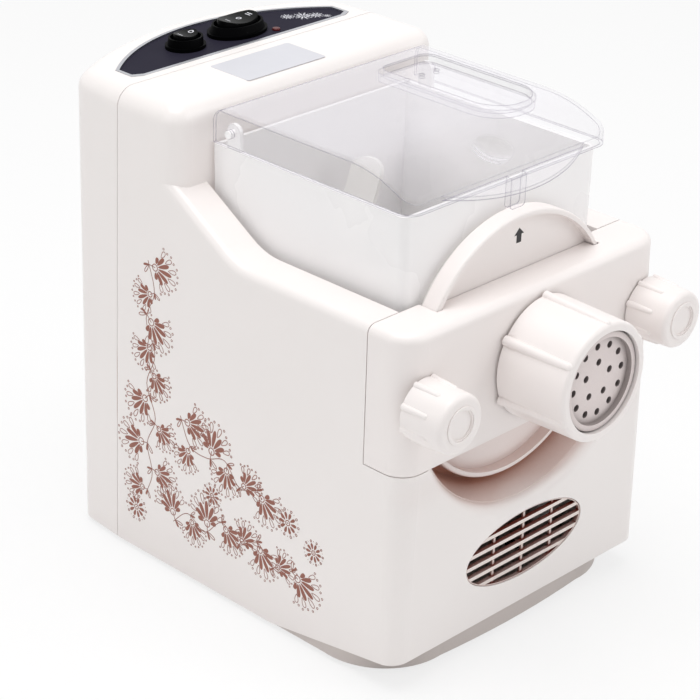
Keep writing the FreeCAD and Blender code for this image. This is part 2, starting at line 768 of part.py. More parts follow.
pocket_depth = 5.0
pocket_corner = 18.0
pocket_box = (30.0, 70.0, -80.0, 8.0)
thumb_radius = 20.0
thumb_y = -110.0
thumb_z = lid_top + 9.5


def pocket_form(grow, z0, z1):
    x0, x1, y0, y1 = pocket_box
    form = box(x0 - grow, x1 + grow, y0 - grow, y1 + grow, z0, z1)
    form = rounded(form, pocket_corner + grow, lambda e: upright(e, abs(e.CenterOfMass.x), y0 - grow))
    return rounded(form, 7.0, lambda e: upright(e, abs(e.CenterOfMass.x), y1 + grow))


lip_reach = 14.0
lip_half = 58.0
lip_fall = 0.33
lip_thick = 2.2


def make_lip():
    """Finger lip: a crescent that goes on down from the lid's front edge."""
    z0 = lid_top - lid_front_drop - 0.4
    tip = V(0, lid_front_y - lip_reach, 0)
    bow = Part.Arc(V(-lip_half, lid_front_y + 1, 0), tip, V(lip_half, lid_front_y + 1, 0)).toShape()
    chord = Part.makeLine(V(lip_half, lid_front_y + 1, 0), V(-lip_half, lid_front_y + 1, 0))
    crescent_form = Part.Face(Part.Wire([bow, chord])).extrude(V(0, 0, far))
    run = lip_reach + 2
    side = [V(-far, lid_front_y + 1, z0), V(-far, lid_front_y + 1 - run, z0 - lip_fall * run),
            V(-far, lid_front_y + 1 - run, z0 - lip_fall * run - lip_thick),
            V(-far, lid_front_y + 1, z0 - lip_thick)]
    return crescent_form.common(polygon(side).extrude(V(2 * far, 0, 0)))


def make_lid():
    """Clear lid: sheet with skirts, filling pocket, thumb dish and finger lip."""
    solid = lid_profile(0, lid_half)
    solid = rounded(solid, 3.0, lambda e: all(near(abs(v.X), lid_half) for v in e.Vertexes) and
                    e.CenterOfMass.z > lid_skirt + 3 and e.CenterOfMass.y < lid_rear_y - 0.1)
    lid = solid.cut(lid_profile(lid_wall, lid_half - lid_wall))
    tray = pocket_form(lid_wall, lid_top - pocket_depth - lid_wall, lid_top - 0.5)
    lid = lid.fuse(tray).cut(pocket_form(0, lid_top - pocket_depth, lid_top + 5))
    lid = lid.fuse(make_lip())
    ball = Part.makeSphere(thumb_radius, V(0, thumb_y, thumb_z))
    cup = Part.makeSphere(thumb_radius + lid_wall, V(0, thumb_y, thumb_z))
    cup = cup.common(lid_profile(0.2, lid_half - 5).common(box(-60, 60, lid_front_y + 0.3, 0, 0, far)))
    lid = lid.fuse(cup).cut(ball)
    tab = box(-6, 6, lid_front_y - 3.5, lid_front_y + 0.5, lid_skirt - 14.5, lid_skirt + 4)
    tab = rounded(tab, 2.5, lambda e: near(e.Length, 4.0) and e.CenterOfMass.z < lid_skirt - 10)
    lid = lid.fuse(tab)
    for x, y in ((-12.0, 6.0), (0.0, 6.0), (12.0, 6.0)):
        lid = lid.cut(post(51 + x, -y, 1.6, 0, far))
    hole = Part.makeCylinder(hinge_pin + running_fit, 2 * far, V(-far, hinge_y, hinge_z), V(1, 0, 0))
    lid = lid.cut(hole)
    corner = box(-far, far, lid_rear_y - 8, far, lid_top - 8, far)
    turn = Part.makeCylinder(8, 2 * far, V(-far, lid_rear_y - 8, lid_top - 8), V(1, 0, 0))
    return lid.cut(corner.cut(turn)).removeSplitter()


journal_radius = 9.0
flight_radius = 19.2
flight_pitch = 21.0
flight_turns = 3
square_half = 4.0
arm_reach = 66.0
arm_places = ((4.0, 20.0), (-27.0, 110.0), (-58.0, 200.0), (-89.0, 290.0))


def make_auger():
    """Mixing shaft with four paddles and a feed screw at the die end."""
    screw_start = plate_rear_y + 2
    length = flight_pitch * flight_turns
    core = disc(0, 0, journal_radius, screw_start - 4, bowl_rear_y + 0.4)
    core = core.fuse(cone(0, 0, 7.0, journal_radius + 1, screw_start - length + 4, screw_start))
    profile = polygon([V(5, 0, -2.6), V(flight_radius, 0, -1.3), V(flight_radius, 0, 1.3), V(5, 0, 2.6)])
    helix = Part.makeHelix(flight_pitch, length - 10, 10)
    sweep = Part.Wire(helix).makePipeShell([profile.OuterWire], True, True)
    sweep.rotate(V(0, 0, 0), V(1, 0, 0), 90)
    sweep.translate(V(0, screw_start - 3, 0))
    shaft = core.fuse(sweep)
    for y, angle in arm_places:
        blade = box(-3.5, 3.5, y - 9, y + 9, 2, arm_reach)
        blade = rounded(blade, 8.0, lambda e: near(e.CenterOfMass.z, arm_reach) and near(e.Length, 7))
        blade.rotate(V(0, y, 0), V(0, 0, 1), 25)
        blade.rotate(V(0, 0, 0), V(0, 1, 0), angle)
        shaft = shaft.fuse(blade)
    s = square_half + 0.1
    shaft = shaft.cut(box(-s, s, 12, far, -s, s))
    shaft.translate(V(0, 0, axis_z))
    return shaft.removeSplitter()


# Gear train, from the motor in the base up to the paddle line

backlash = 0.26
pressure = math.radians(20.0)
gear_a_teeth, pinion_m_teeth, module_1 = 70, 14, 1.0
gear_b_teeth, pinion_a_teeth, module_2 = 56, 14, 1.5
output_teeth, pinion_b_teeth, module_3 = 42, 14, 2.0


def centre_distance(module, n1, n2):
    return module * (n1 + n2) / 2


def gear_places():
    """Shaft places (x, z) of gear B and gear A between output and motor."""
    reach = centre_distance(module_3, output_teeth, pinion_b_teeth)
    b = (gear_b_x, axis_z - math.sqrt(reach ** 2 - gear_b_x ** 2))
    r1 = centre_distance(module_2, gear_b_teeth, pinion_a_teeth)
    r2 = centre_distance(module_1, gear_a_teeth, pinion_m_teeth)
    dx, dz = -b[0], motor_z - b[1]
    gap = math.hypot(dx, dz)
    along = (r1 ** 2 - r2 ** 2 + gap ** 2) / (2 * gap)
    aside = math.sqrt(r1 ** 2 - along ** 2)
    a = (b[0] + (along * dx + aside * dz) / gap, b[1] + (along * dz - aside * dx) / gap)
    return b, a


def wheel(module, teeth, x, z, y0, y1, phase, bore):
    """Spur gear with involute flanks, one tooth centred at the phase angle."""
    pitch_r = module * teeth / 2
    base_r = pitch_r * math.cos(pressure)
    tip_r = pitch_r + module
    root_r = pitch_r - 1.25 * module
    involute = math.tan(pressure) - pressure
    half_tooth = math.pi / (2 * teeth) + involute - backlash / (4 * pitch_r)
    flank = [(root_r, half_tooth)]
    low_r = max(base_r, root_r)
    for step in range(5):
        r = low_r + (tip_r - low_r) * step / 4
        roll = math.acos(min(1.0, base_r / r))
        flank.append((r, half_tooth - (math.tan(roll) - roll)))
    points = []
    for tooth in range(teeth):
        middle = phase + tooth * 2 * math.pi / teeth
        for r, offset in flank:
            points.append((r, middle - offset))
        for r, offset in reversed(flank):
            points.append((r, middle + offset))
    corners = [V(x + r * math.cos(t), y0, z + r * math.sin(t)) for r, t in points]
    return polygon(corners).extrude(V(0, y1 - y0, 0)).cut(disc(x, z, bore, y0 - 1, y1 + 1))


def meshing(module, big, small, big_at, small_at, y0, y1, bores):
    """A gear and a pinion in mesh at rest."""
    line = math.atan2(small_at[1] - big_at[1], small_at[0] - big_at[0])
    gear = wheel(module, big, big_at[0], big_at[1], y0, y1, line, bores[0])
    pinion = wheel(module, small, small_at[0], small_at[1], y0 - 0.5, y1 + 0.5,
                   line + math.pi + math.pi / small, bores[1])
    return gear, pinion


case_front_y = 34.0
case_wall = 3.0
stage3_y = (41.0, 52.0)
stage2_y = (54.5, 61.5)
stage1_y = (64.0, 69.0)
cover_front_y = 72.0
cover_rear_y = 74.5
shaft_radius = 5.0
output_radius = 7.0
motor_shaft = 4.0
bearing_width = 4.0


def capsule(c1, r1, c2, r2, y0, y1):
    """Belt shaped block round two circles."""
    dx, dz = c2[0] - c1[0], c2[1] - c1[1]
    gap = math.hypot(dx, dz)
    line = math.atan2(dz, dx)
    lean = math.acos((r1 - r2) / gap)
    corners = []
    for centre, radius, sign in ((c1, r1, 1), (c2, r2, 1), (c2, r2, -1), (c1, r1, -1)):
        angle = line + sign * lean
        corners.append(V(centre[0] + radius * math.cos(angle), y0, centre[1] + radius * math.sin(angle)))
    block = polygon(corners).extrude(V(0, y1 - y0, 0))
    return block.fuse(disc(c1[0], c1[1], r1, y0, y1)).fuse(disc(c2[0], c2[1], r2, y0, y1))


def case_form(inset, y0, y1):
    b, a = gear_places()
    output = (0.0, axis_z)
    motor = (0.0, motor_z)
    sizes = {"o": 48.0 - inset, "b": 47.5 - inset, "a": 40.0 - inset, "m": 16.0 - inset}
    form = capsule(output, sizes["o"], b, sizes["b"], y0, y1)
    form = form.fuse(capsule(b, sizes["b"], a, sizes["a"], y0, y1))
    return form.fuse(capsule(a, sizes["a"], motor, sizes["m"], y0, y1)).removeSplitter()


def shaft_line():
    b, a = gear_places()
    return [((0.0, axis_z), output_radius), (b, shaft_radius), (a, shaft_radius),
            ((0.0, motor_z), motor_shaft)]


def make_gearbox():
    """Cup shaped case, its cover and the bushes in both."""
    case = case_form(0, case_front_y, cover_front_y)
    case = case.cut(case_form(case_wall, case_front_y + case_wall, far))
    cover = case_form(0, cover_front_y, cover_rear_y)
    front_bushes = []
    rear_bushes = []
    for (x, z), radius in shaft_line():
        bush = radius + 3.0
        case = case.cut(disc(x, z, bush, 0, far))
        cover = cover.cut(disc(x, z, bush, 0, far))
        front_bushes.append(ring(x, z, bush, radius + running_fit, case_front_y, case_front_y + bearing_width))
        rear_bushes.append(ring(x, z, bush, radius + running_fit, cover_front_y, cover_rear_y))
    shapes["gearbox_case"] = case
    shapes["gearbox_cover"] = cover
    shapes["front_shaft_bushes"] = Part.makeCompound(front_bushes)
    shapes["rear_shaft_bushes"] = Part.makeCompound(rear_bushes)


def make_gears():
    b, a = gear_places()
    output = (0.0, axis_z)
    motor = (0.0, motor_z)
    big, small = meshing(module_3, output_teeth, pinion_b_teeth, output, b, *stage3_y,
                         (output_radius, shaft_radius))
    shapes["output_gear"] = big
    shapes["second_pinion"] = small
    big, small = meshing(module_2, gear_b_teeth, pinion_a_teeth, b, a, *stage2_y,
                         (shaft_radius, shaft_radius))
    shapes["second_gear"] = big
    shapes["first_pinion"] = small
    big, small = meshing(module_1, gear_a_teeth, pinion_m_teeth, a, motor, *stage1_y,
                         (shaft_radius, motor_shaft))
    shapes["first_gear"] = big
    shapes["motor_pinion"] = small
    end_y = cover_rear_y - 0.5
    start_y = case_front_y + 0.5
    drive = disc(0, axis_z, output_radius, tower_front_y - 1, end_y)
    s = square_half
    shapes["drive_shaft"] = drive.fuse(box(-s, s, 15, tower_front_y, axis_z - s, axis_z + s))
    shapes["second_shaft"] = disc(b[0], b[1], shaft_radius, start_y, end_y)
    shapes["first_shaft"] = disc(a[0], a[1], shaft_radius, start_y, end_y)


motor_radius = 31.0
stator_y = (-36.0, 6.0)
stator_bore = 17.6
rotor_radius = 17.0
frame_front_y = -47.0
frame_rear_y = 33.5
frame_thick = 3.0
frame_half = 33.6
fan_y = (-64.0, -52.0)
fan_radius = 30.0
fan_blades = 9
commutator_y = (12.0, 25.0)
commutator_radius = 11.0


def make_motor():
    """Open universal motor lying along Y under the trough."""
    z = motor_z
    core = disc(0, z, motor_radius, *stator_y).common(box(-26, 26, -far, far, 0, far))
    core = core.cut(disc(0, z, stator_bore, -far, far))
    slots = ring(0, z, 25.0, stator_bore, -far, far).common(
        box(-25, 25, -far, far, z - 9, z + 9))
    slots = slots.common(box(-24, 24, stator_y[0] - 8, stator_y[1] + 5, 0, far))
    shapes["motor_stator"] = core.cut(slots)
    shapes["stator_windings"] = slots
    rods = []
    plates = []
    for y0 in (frame_front_y, frame_rear_y - frame_thick):
        bar = box(-9, 9, y0, y0 + frame_thick, z - frame_half, z + frame_half)
        bar = bar.fuse(disc(0, z, 14, y0, y0 + frame_thick))
        plates.append(bar.cut(disc(0, z, motor_shaft + running_fit, -far, far)))
    for side in (-1, 1):
        middle = z + side * (frame_half - 1.2)
        rods.append(box(-6, 6, frame_front_y, frame_rear_y, middle - 1.2, middle + 1.2))
    shapes["motor_frame"] = fused(plates + rods)
    rotor = disc(0, z, rotor_radius, stator_y[0] + 2, stator_y[1] - 2)
    rotor = rotor.fuse(disc(0, z, commutator_radius + 1, stator_y[1] - 2, commutator_y[0] - 1))
    shapes["motor_rotor"] = rotor.cut(disc(0, z, motor_shaft, -far, far))
    shapes["commutator"] = ring(0, z, commutator_radius, motor_shaft, *commutator_y)
    shapes["motor_shaft"] = disc(0, z, motor_shaft, fan_y[0], stage1_y[1] + 4.5)
    brushes = []
    for side in (-1, 1):
        x0 = side * (commutator_radius + 0.4)
        x1 = side * 27.0
        brushes.append(box(min(x0, x1), max(x0, x1), commutator_y[0] + 2, commutator_y[1] - 2, z - 4, z + 4))
    shapes["brush_holders"] = Part.makeCompound(brushes)
    hub = disc(0, z, 8, *fan_y)
    blades = [hub]
    for i in range(fan_blades):
        blade = box(-0.9, 0.9, fan_y[0] + 1, fan_y[1] - 1, 6, fan_radius)
        blade.rotate(V(0, 0, 0), V(0, 1, 0), i * 360 / fan_blades)
        blade.translate(V(0, 0, z))
        blades.append(blade)
    blades.append(disc(0, z, fan_radius, fan_y[1] - 1.6, fan_y[1]))
    shapes["cooling_fan"] = fused(blades).cut(disc(0, z, motor_shaft, -far, far))


def make_motor_cradle():
    """Posts that carry the motor frame on the base."""
    floor = shell_bottom + base_wall
    low = motor_z - frame_half
    posts = []
    for y0 in (frame_front_y, frame_rear_y - frame_thick):
        posts.append(box(-14, 14, y0 - 4, y0 + frame_thick + 4, floor, low))
    return Part.makeCompound(posts)


# Electrical pieces

board_y = 122.0
board_half = 36.0
board_z = (176.0, 244.0)


def make_board():
    board = box(-board_half, board_half, board_y, board_y + 1.6, *board_z)
    z0 = board_z[0]
    parts = [box(-30, -10, board_y - 16, board_y, z0 + 6, z0 + 30),
             box(2, 18, board_y - 14, board_y, z0 + 8, z0 + 24),
             disc(26, z0 + 18, 6, board_y - 20, board_y),
             disc(-20, z0 + 48, 7.5, board_y - 18, board_y),
             box(0, 28, board_y - 9, board_y, z0 + 42, z0 + 60)]
    return board, Part.makeCompound(parts)


def make_board_posts():
    """Standoffs between the board and the bowed back."""
    posts = []
    for x in (-board_half + 5, board_half - 5):
        for z in (board_z[0] + 3, board_z[1] - 3):
            end = rear_y - rear_arc + math.sqrt((rear_arc - shell_wall) ** 2 - (abs(x) + 2.5) ** 2)
            posts.append(disc(x, z, 2.5, board_y + 1.6, end))
    return Part.makeCompound(posts)


def make_inlet():
    """Appliance inlet with three pins, flush with the back."""
    face_y = rear_y - 0.9
    g = 0.2
    body = box(-inlet_half + g, inlet_half - g, 112, face_y, inlet_z - inlet_half_z + g,
               inlet_z + inlet_half_z - g)
    body = body.cut(box(-11, 11, 128, far, inlet_z - 7.4, inlet_z + 7.4))
    pins = [box(x - 1, x + 1, 106, 136, z - 2, z + 2)
            for x, z in ((-6.5, inlet_z - 1.5), (0.0, inlet_z + 2), (6.5, inlet_z - 1.5))]
    return fused([body] + pins)


def make_lid_switch():
    """Safety switch that the lid's back corner works."""
    y = tower_front_y + shell_wall
    return box(58, 78, y, y + 11, 252, 266).fuse(box(64, 67, y + 11, y + 16, 254, 262))


def make_screws(along_y):
    screws = []
    if along_y:
        for x, z in rear_screw_places():
            head = disc(x, z, screw_head, rear_screw_head_y - 3, rear_screw_head_y)
            shank = disc(x, z, screw_radius, rear_screw_tip_y, rear_screw_head_y - 3)
            cross = box(x - 0.5, x + 0.5, rear_screw_head_y - 1.2, rear_screw_head_y + 1, z - 2.2, z + 2.2)
            screws.append(head.fuse(shank).cut(cross))
    else:
        for x, y in base_screw_places():
            head = post(x, y, screw_head, shell_bottom + 2.2, shell_bottom + 5)
            shank = post(x, y, screw_radius, shell_bottom + 5, base_screw_top)
            cross = box(x - 0.5, x + 0.5, y - 2.2, y + 2.2, 0, shell_bottom + 3.4)
            screws.append(head.fuse(shank).cut(cross))
    return Part.makeCompound(screws)


def make_shaft_seal():
    """Rubber ring that closes the gap where the drive enters the bowl bay."""
    return ring(0, axis_z, drive_hole, output_radius + 0.35, tower_front_y + 0.3, tower_front_y + 4)


def build():
    outer = enclosure(0)
    hollow = enclosure(shell_wall)
    keep_out = trough(shell_wall).fuse(bracket_space(shell_wall))
    front_hollow = hollow.cut(keep_out)
    shapes["front_housing"] = make_front_housing(outer, front_hollow)
    shapes["rear_cover"] = make_rear_cover(outer, hollow)
    shapes["base_plate"] = make_base_plate()
    shapes["rubber_feet"] = make_feet()
    shapes["vent_grille"] = make_vent_grille()
    shapes["control_panel"] = make_panel()
    shapes["panel_trim"] = make_panel_trim()
    shapes["large_switch_boot"] = make_boot(large_switch)
    shapes["small_switch_boot"] = make_boot(small_switch)
    shapes["large_switch_body"] = make_switch_body(large_switch)
    shapes["small_switch_body"] = make_switch_body(small_switch)
    shapes["large_rocker"] = make_rocker(large_switch)
    shapes["small_rocker"] = make_rocker(small_switch)
    shapes["indicator_lamp"] = make_lamp()
    shapes["front_bracket"] = make_bracket(outer)
    shapes["front_plate"] = make_front_plate()
    shapes["front_seal"] = make_front_seal()
    shapes["die_plate"] = make_die_plate()
    shapes["die_nut"] = make_die_nut()
    for name, x in (("left", -knob_x), ("right", knob_x)):
        shapes["knob_" + name] = make_knob(x)
        shapes["knob_insert_" + name] = make_knob_insert(x)
        shapes["stud_" + name] = make_stud(x)
    shapes["mixing_bowl"] = make_bowl()
    shapes["lid"] = make_lid()
    shapes["mixing_auger"] = make_auger()
    shapes["drive_seal"] = make_shaft_seal()
    make_gearbox()
    make_gears()
    make_motor()
    shapes["motor_cradle"] = make_motor_cradle()
    shapes["circuit_board"], shapes["board_components"] = make_board()
    shapes["board_standoffs"] = make_board_posts()
    shapes["power_inlet"] = make_inlet()
    shapes["lid_switch"] = make_lid_switch()
    shapes["rear_screws"] = make_screws(True)
    shapes["base_screws"] = make_screws(False)


def write_parts():
    os.makedirs("parts", exist_ok=True)
    to_origin = V(0, -(nut_front_y + rear_y) / 2, 0)
    for name, shape in shapes.items():
        shape.translate(to_origin)
        shape.exportStep("parts/" + name + ".step")
        state = "valid" if shape.isValid() else "NOT VALID"
        print(name, state, len(shape.Solids), "solids", round(shape.Volume / 1000, 2), "cm3")


build()
write_parts()
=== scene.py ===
import math

import bmesh
import bpy
from mathutils import Matrix, Vector
from mathutils.bvhtree import BVHTree


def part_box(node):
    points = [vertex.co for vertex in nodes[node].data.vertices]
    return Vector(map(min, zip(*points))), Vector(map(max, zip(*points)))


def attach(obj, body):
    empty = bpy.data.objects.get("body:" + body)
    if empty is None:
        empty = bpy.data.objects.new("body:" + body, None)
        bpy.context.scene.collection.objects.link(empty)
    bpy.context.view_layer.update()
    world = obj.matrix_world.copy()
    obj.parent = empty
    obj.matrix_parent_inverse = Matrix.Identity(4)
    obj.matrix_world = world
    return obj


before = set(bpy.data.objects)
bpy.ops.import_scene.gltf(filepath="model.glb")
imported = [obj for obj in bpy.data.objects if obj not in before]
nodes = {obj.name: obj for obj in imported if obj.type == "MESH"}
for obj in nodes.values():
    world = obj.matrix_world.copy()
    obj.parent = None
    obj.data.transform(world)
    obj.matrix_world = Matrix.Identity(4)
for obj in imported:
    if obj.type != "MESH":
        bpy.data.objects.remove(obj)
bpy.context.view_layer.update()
mm = 0.001
print("frame loaded,", len(nodes), "nodes")


# Shader node groups

skinOutputs = [("Colour", "NodeSocketColor"), ("Roughness", "NodeSocketFloat"),
               ("Height", "NodeSocketFloat")]


def newGroup(name, inputs, outputs):
    tree = bpy.data.node_groups.new(name, "ShaderNodeTree")
    for label, kind, value in inputs:
        socket = tree.interface.new_socket(label, in_out="INPUT", socket_type=kind)
        socket.default_value = value
    for label, kind in outputs:
        tree.interface.new_socket(label, in_out="OUTPUT", socket_type=kind)
    return tree, tree.nodes.new("NodeGroupInput"), tree.nodes.new("NodeGroupOutput")


def mathNode(tree, operation, first, second):
    node = tree.nodes.new("ShaderNodeMath")
    node.operation = operation
    for socket, value in zip(node.inputs, (first, second)):
        if isinstance(value, (int, float)):
            socket.default_value = value
        else:
            tree.links.new(value, socket)
    return node.outputs[0]


def noiseNode(tree, place, scale, detail, roughness=0.5):
    node = tree.nodes.new("ShaderNodeTexNoise")
    node.inputs["Detail"].default_value = detail
    node.inputs["Roughness"].default_value = roughness
    tree.links.new(place, node.inputs["Vector"])
    tree.links.new(scale, node.inputs["Scale"])
    return node.outputs["Fac"]


def mixColours(tree, factor, first, second):
    node = tree.nodes.new("ShaderNodeMix")
    node.data_type = "RGBA"
    tree.links.new(factor, node.inputs["Factor"])
    for socket, value in ((node.inputs["A"], first), (node.inputs["B"], second)):
        if isinstance(value, tuple):
            socket.default_value = value
        else:
            tree.links.new(value, socket)
    return node.outputs["Result"]


# Painted warm shade in deep creases, from an Ambient Occlusion mask: how far it reaches, and between
# which heights (the scoop under the front plate) it is painted at full strength
paintedShadePlan = {
    "samples": 8,
    "reach": 50 * mm,
    "gain": 1.35,
    "low": 76 * mm,
    "high": 130 * mm,
    "fade": 90.0,
}


def paintedShadeShare(tree, place, given, plan):
    # 1 deep in a crease, 0 on an open face: the share of painted shade
    hidden = tree.nodes.new("ShaderNodeAmbientOcclusion")
    hidden.samples = plan["samples"]
    hidden.inputs["Distance"].default_value = plan["reach"]
    closed = mathNode(tree, "SUBTRACT", 1.0, hidden.outputs["AO"])
    closed = mathNode(tree, "MULTIPLY", closed, plan["gain"])
    closed = mathNode(tree, "MINIMUM", closed, 1.0)
    # painted shade at full strength between the two heights, a share of it at other heights
    height = tree.nodes.new("ShaderNodeSeparateXYZ")
    tree.links.new(place, height.inputs[0])
    under = mathNode(tree, "SUBTRACT", plan["high"], height.outputs["Z"])
    over = mathNode(tree, "SUBTRACT", height.outputs["Z"], plan["low"])
    band = mathNode(tree, "MULTIPLY", mathNode(tree, "MINIMUM", under, over), plan["fade"])
    band = mathNode(tree, "MINIMUM", band, 1.0)
    band = mathNode(tree, "MAXIMUM", band, given.outputs["Painted Shade Elsewhere"])
    share = mathNode(tree, "MULTIPLY", closed, band)
    return mathNode(tree, "MULTIPLY", share, given.outputs["Painted Shade Amount"])


def spreadRoughness(tree, given, pattern):
    # the pattern makes the surface a little rougher here and smoother there
    swing = mathNode(tree, "SUBTRACT", pattern, 0.5)
    swing = mathNode(tree, "MULTIPLY", swing, given.outputs["Roughness Spread"])
    return mathNode(tree, "ADD", given.outputs["Roughness"], swing)


def makeMouldedGroup():
    # soft clouds in the colour, painted warm shade in creases, a fine spark-eroded grain in the height
    tree, given, out = newGroup(
        "mouldedSkin",
        [("Colour", "NodeSocketColor", (0.8, 0.8, 0.8, 1)),
         ("Cloud Colour", "NodeSocketColor", (0.7, 0.7, 0.7, 1)),
         ("Cloud Size", "NodeSocketFloat", 12.0),
         ("Cloud Amount", "NodeSocketFloat", 0.4),
         ("Grain Size", "NodeSocketFloat", 900.0),
         ("Grain Depth", "NodeSocketFloat", 0.3),
         ("Roughness", "NodeSocketFloat", 0.35),
         ("Roughness Spread", "NodeSocketFloat", 0.1),
         ("Painted Shade Colour", "NodeSocketColor", (0.5, 0.4, 0.35, 1)),
         ("Painted Shade Amount", "NodeSocketFloat", 0.0),
         ("Painted Shade Elsewhere", "NodeSocketFloat", 0.05)],
        skinOutputs)
    place = tree.nodes.new("ShaderNodeTexCoord").outputs["Object"]
    cloud = noiseNode(tree, place, given.outputs["Cloud Size"], detail=3.0)
    grain = noiseNode(tree, place, given.outputs["Grain Size"], detail=2.0, roughness=0.6)
    share = mathNode(tree, "MULTIPLY", cloud, given.outputs["Cloud Amount"])
    skin = mixColours(tree, share, given.outputs["Colour"], given.outputs["Cloud Colour"])
    crease = paintedShadeShare(tree, place, given, paintedShadePlan)
    # the crease colour is blended over the skin where occlusion is high: painted shade
    skin = mixColours(tree, crease, skin, given.outputs["Painted Shade Colour"])
    relief = mathNode(tree, "MULTIPLY", grain, given.outputs["Grain Depth"])
    tree.links.new(skin, out.inputs["Colour"])
    tree.links.new(spreadRoughness(tree, given, cloud), out.inputs["Roughness"])
    tree.links.new(relief, out.inputs["Height"])
    return tree


def makeBrushedGroup():
    # drawn or turned metal: noise stretched along one direction
    tree, given, out = newGroup(
        "brushedSkin",
        [("Colour", "NodeSocketColor", (0.6, 0.6, 0.6, 1)),
         ("Line Colour", "NodeSocketColor", (0.4, 0.4, 0.4, 1)),
         ("Stretch", "NodeSocketVector", (1.0, 0.05, 1.0)),
         ("Line Size", "NodeSocketFloat", 900.0),
         ("Depth", "NodeSocketFloat", 0.4),
         ("Roughness", "NodeSocketFloat", 0.3),
         ("Roughness Spread", "NodeSocketFloat", 0.2)],
        skinOutputs)
    place = tree.nodes.new("ShaderNodeTexCoord").outputs["Object"]
    stretched = tree.nodes.new("ShaderNodeVectorMath")
    stretched.operation = "MULTIPLY"
    tree.links.new(place, stretched.inputs[0])
    tree.links.new(given.outputs["Stretch"], stretched.inputs[1])
    lines = noiseNode(tree, stretched.outputs[0], given.outputs["Line Size"], detail=3.0, roughness=0.65)
    skin = mixColours(tree, lines, given.outputs["Colour"], given.outputs["Line Colour"])
    relief = mathNode(tree, "MULTIPLY", lines, given.outputs["Depth"])
    tree.links.new(skin, out.inputs["Colour"])
    tree.links.new(spreadRoughness(tree, given, lines), out.inputs["Roughness"])
    tree.links.new(relief, out.inputs["Height"])
    return tree


def makeEdgeGroup():
    # 1 along sharp edges and thin rims, 0 on open faces
    tree, given, out = newGroup(
        "edgeLines", [("Width", "NodeSocketFloat", 1.0 * mm), ("Gain", "NodeSocketFloat", 4.0)],
        [("Mask", "NodeSocketFloat")])
    soft = tree.nodes.new("ShaderNodeBevel")
    soft.samples = 6
    tree.links.new(given.outputs["Width"], soft.inputs["Radius"])
    dot = tree.nodes.new("ShaderNodeVectorMath")
    dot.operation = "DOT_PRODUCT"
    tree.links.new(soft.outputs["Normal"], dot.inputs[0])
    tree.links.new(tree.nodes.new("ShaderNodeNewGeometry").outputs["Normal"], dot.inputs[1])
    bent = mathNode(tree, "SUBTRACT", 1.0, dot.outputs["Value"])
    gained = mathNode(tree, "MULTIPLY", bent, given.outputs["Gain"])
    tree.links.new(mathNode(tree, "MINIMUM", gained, 1.0), out.inputs["Mask"])
    return tree


mouldedGroup = makeMouldedGroup()
brushedGroup = makeBrushedGroup()
edgeGroup = makeEdgeGroup()


# Materials

def rgb(red, green, blue):
    # screen colour, 0 to 255, to the linear colour that a shader takes
    def linear(level):
        level /= 255
        return level / 12.92 if level <= 0.04045 else ((level + 0.055) / 1.055) ** 2.4
    return (linear(red), linear(green), linear(blue), 1.0)


def skinnedMaterial(name, group, skin, shader, bump):
    material = bpy.data.materials.new(name)
    material.use_nodes = True
    tree = material.node_tree
    principled = tree.nodes["Principled BSDF"]
    coating = tree.nodes.new("ShaderNodeGroup")
    coating.node_tree = group
    for label, value in skin.items():
        coating.inputs[label].default_value = value
    for label, value in shader.items():
        principled.inputs[label].default_value = value
    relief = tree.nodes.new("ShaderNodeBump")
    relief.inputs["Strength"].default_value = bump["strength"]
    relief.inputs["Distance"].default_value = bump["distance"]
    tree.links.new(coating.outputs["Colour"], principled.inputs["Base Color"])
    tree.links.new(coating.outputs["Roughness"], principled.inputs["Roughness"])
    tree.links.new(coating.outputs["Height"], relief.inputs["Height"])
    tree.links.new(relief.outputs["Normal"], principled.inputs["Normal"])
    return material


# the crease colour and its amount paint shade into creases; they are not a stain of the plastic
def plastic(name, colour, cloud, roughness=0.35, spread=0.1, cloudSize=12.0, cloudAmount=0.5,
            grainSize=900.0, grain=0.3, strength=0.3, distance=0.2 * mm, crease=(176, 108, 78),
            creaseAmount=0.0, elsewhere=0.05, **shader):
    skin = {"Colour": rgb(*colour), "Cloud Colour": rgb(*cloud), "Cloud Size": cloudSize,
            "Cloud Amount": cloudAmount, "Grain Size": grainSize, "Grain Depth": grain,
            "Roughness": roughness, "Roughness Spread": spread, "Painted Shade Colour": rgb(*crease),
            "Painted Shade Amount": creaseAmount, "Painted Shade Elsewhere": elsewhere}
    return skinnedMaterial(name, mouldedGroup, skin, shader,
                           {"strength": strength, "distance": distance})


def metal(name, colour, line, stretch, roughness=0.3, spread=0.2, lineSize=900.0, depth=0.4,
          strength=0.25, distance=0.1 * mm, **shader):
    skin = {"Colour": rgb(*colour), "Line Colour": rgb(*line), "Stretch": stretch,
            "Line Size": lineSize, "Depth": depth, "Roughness": roughness,
            "Roughness Spread": spread}
    shader.setdefault("Metallic", 1.0)
    return skinnedMaterial(name, brushedGroup, skin, shader,
                           {"strength": strength, "distance": distance})


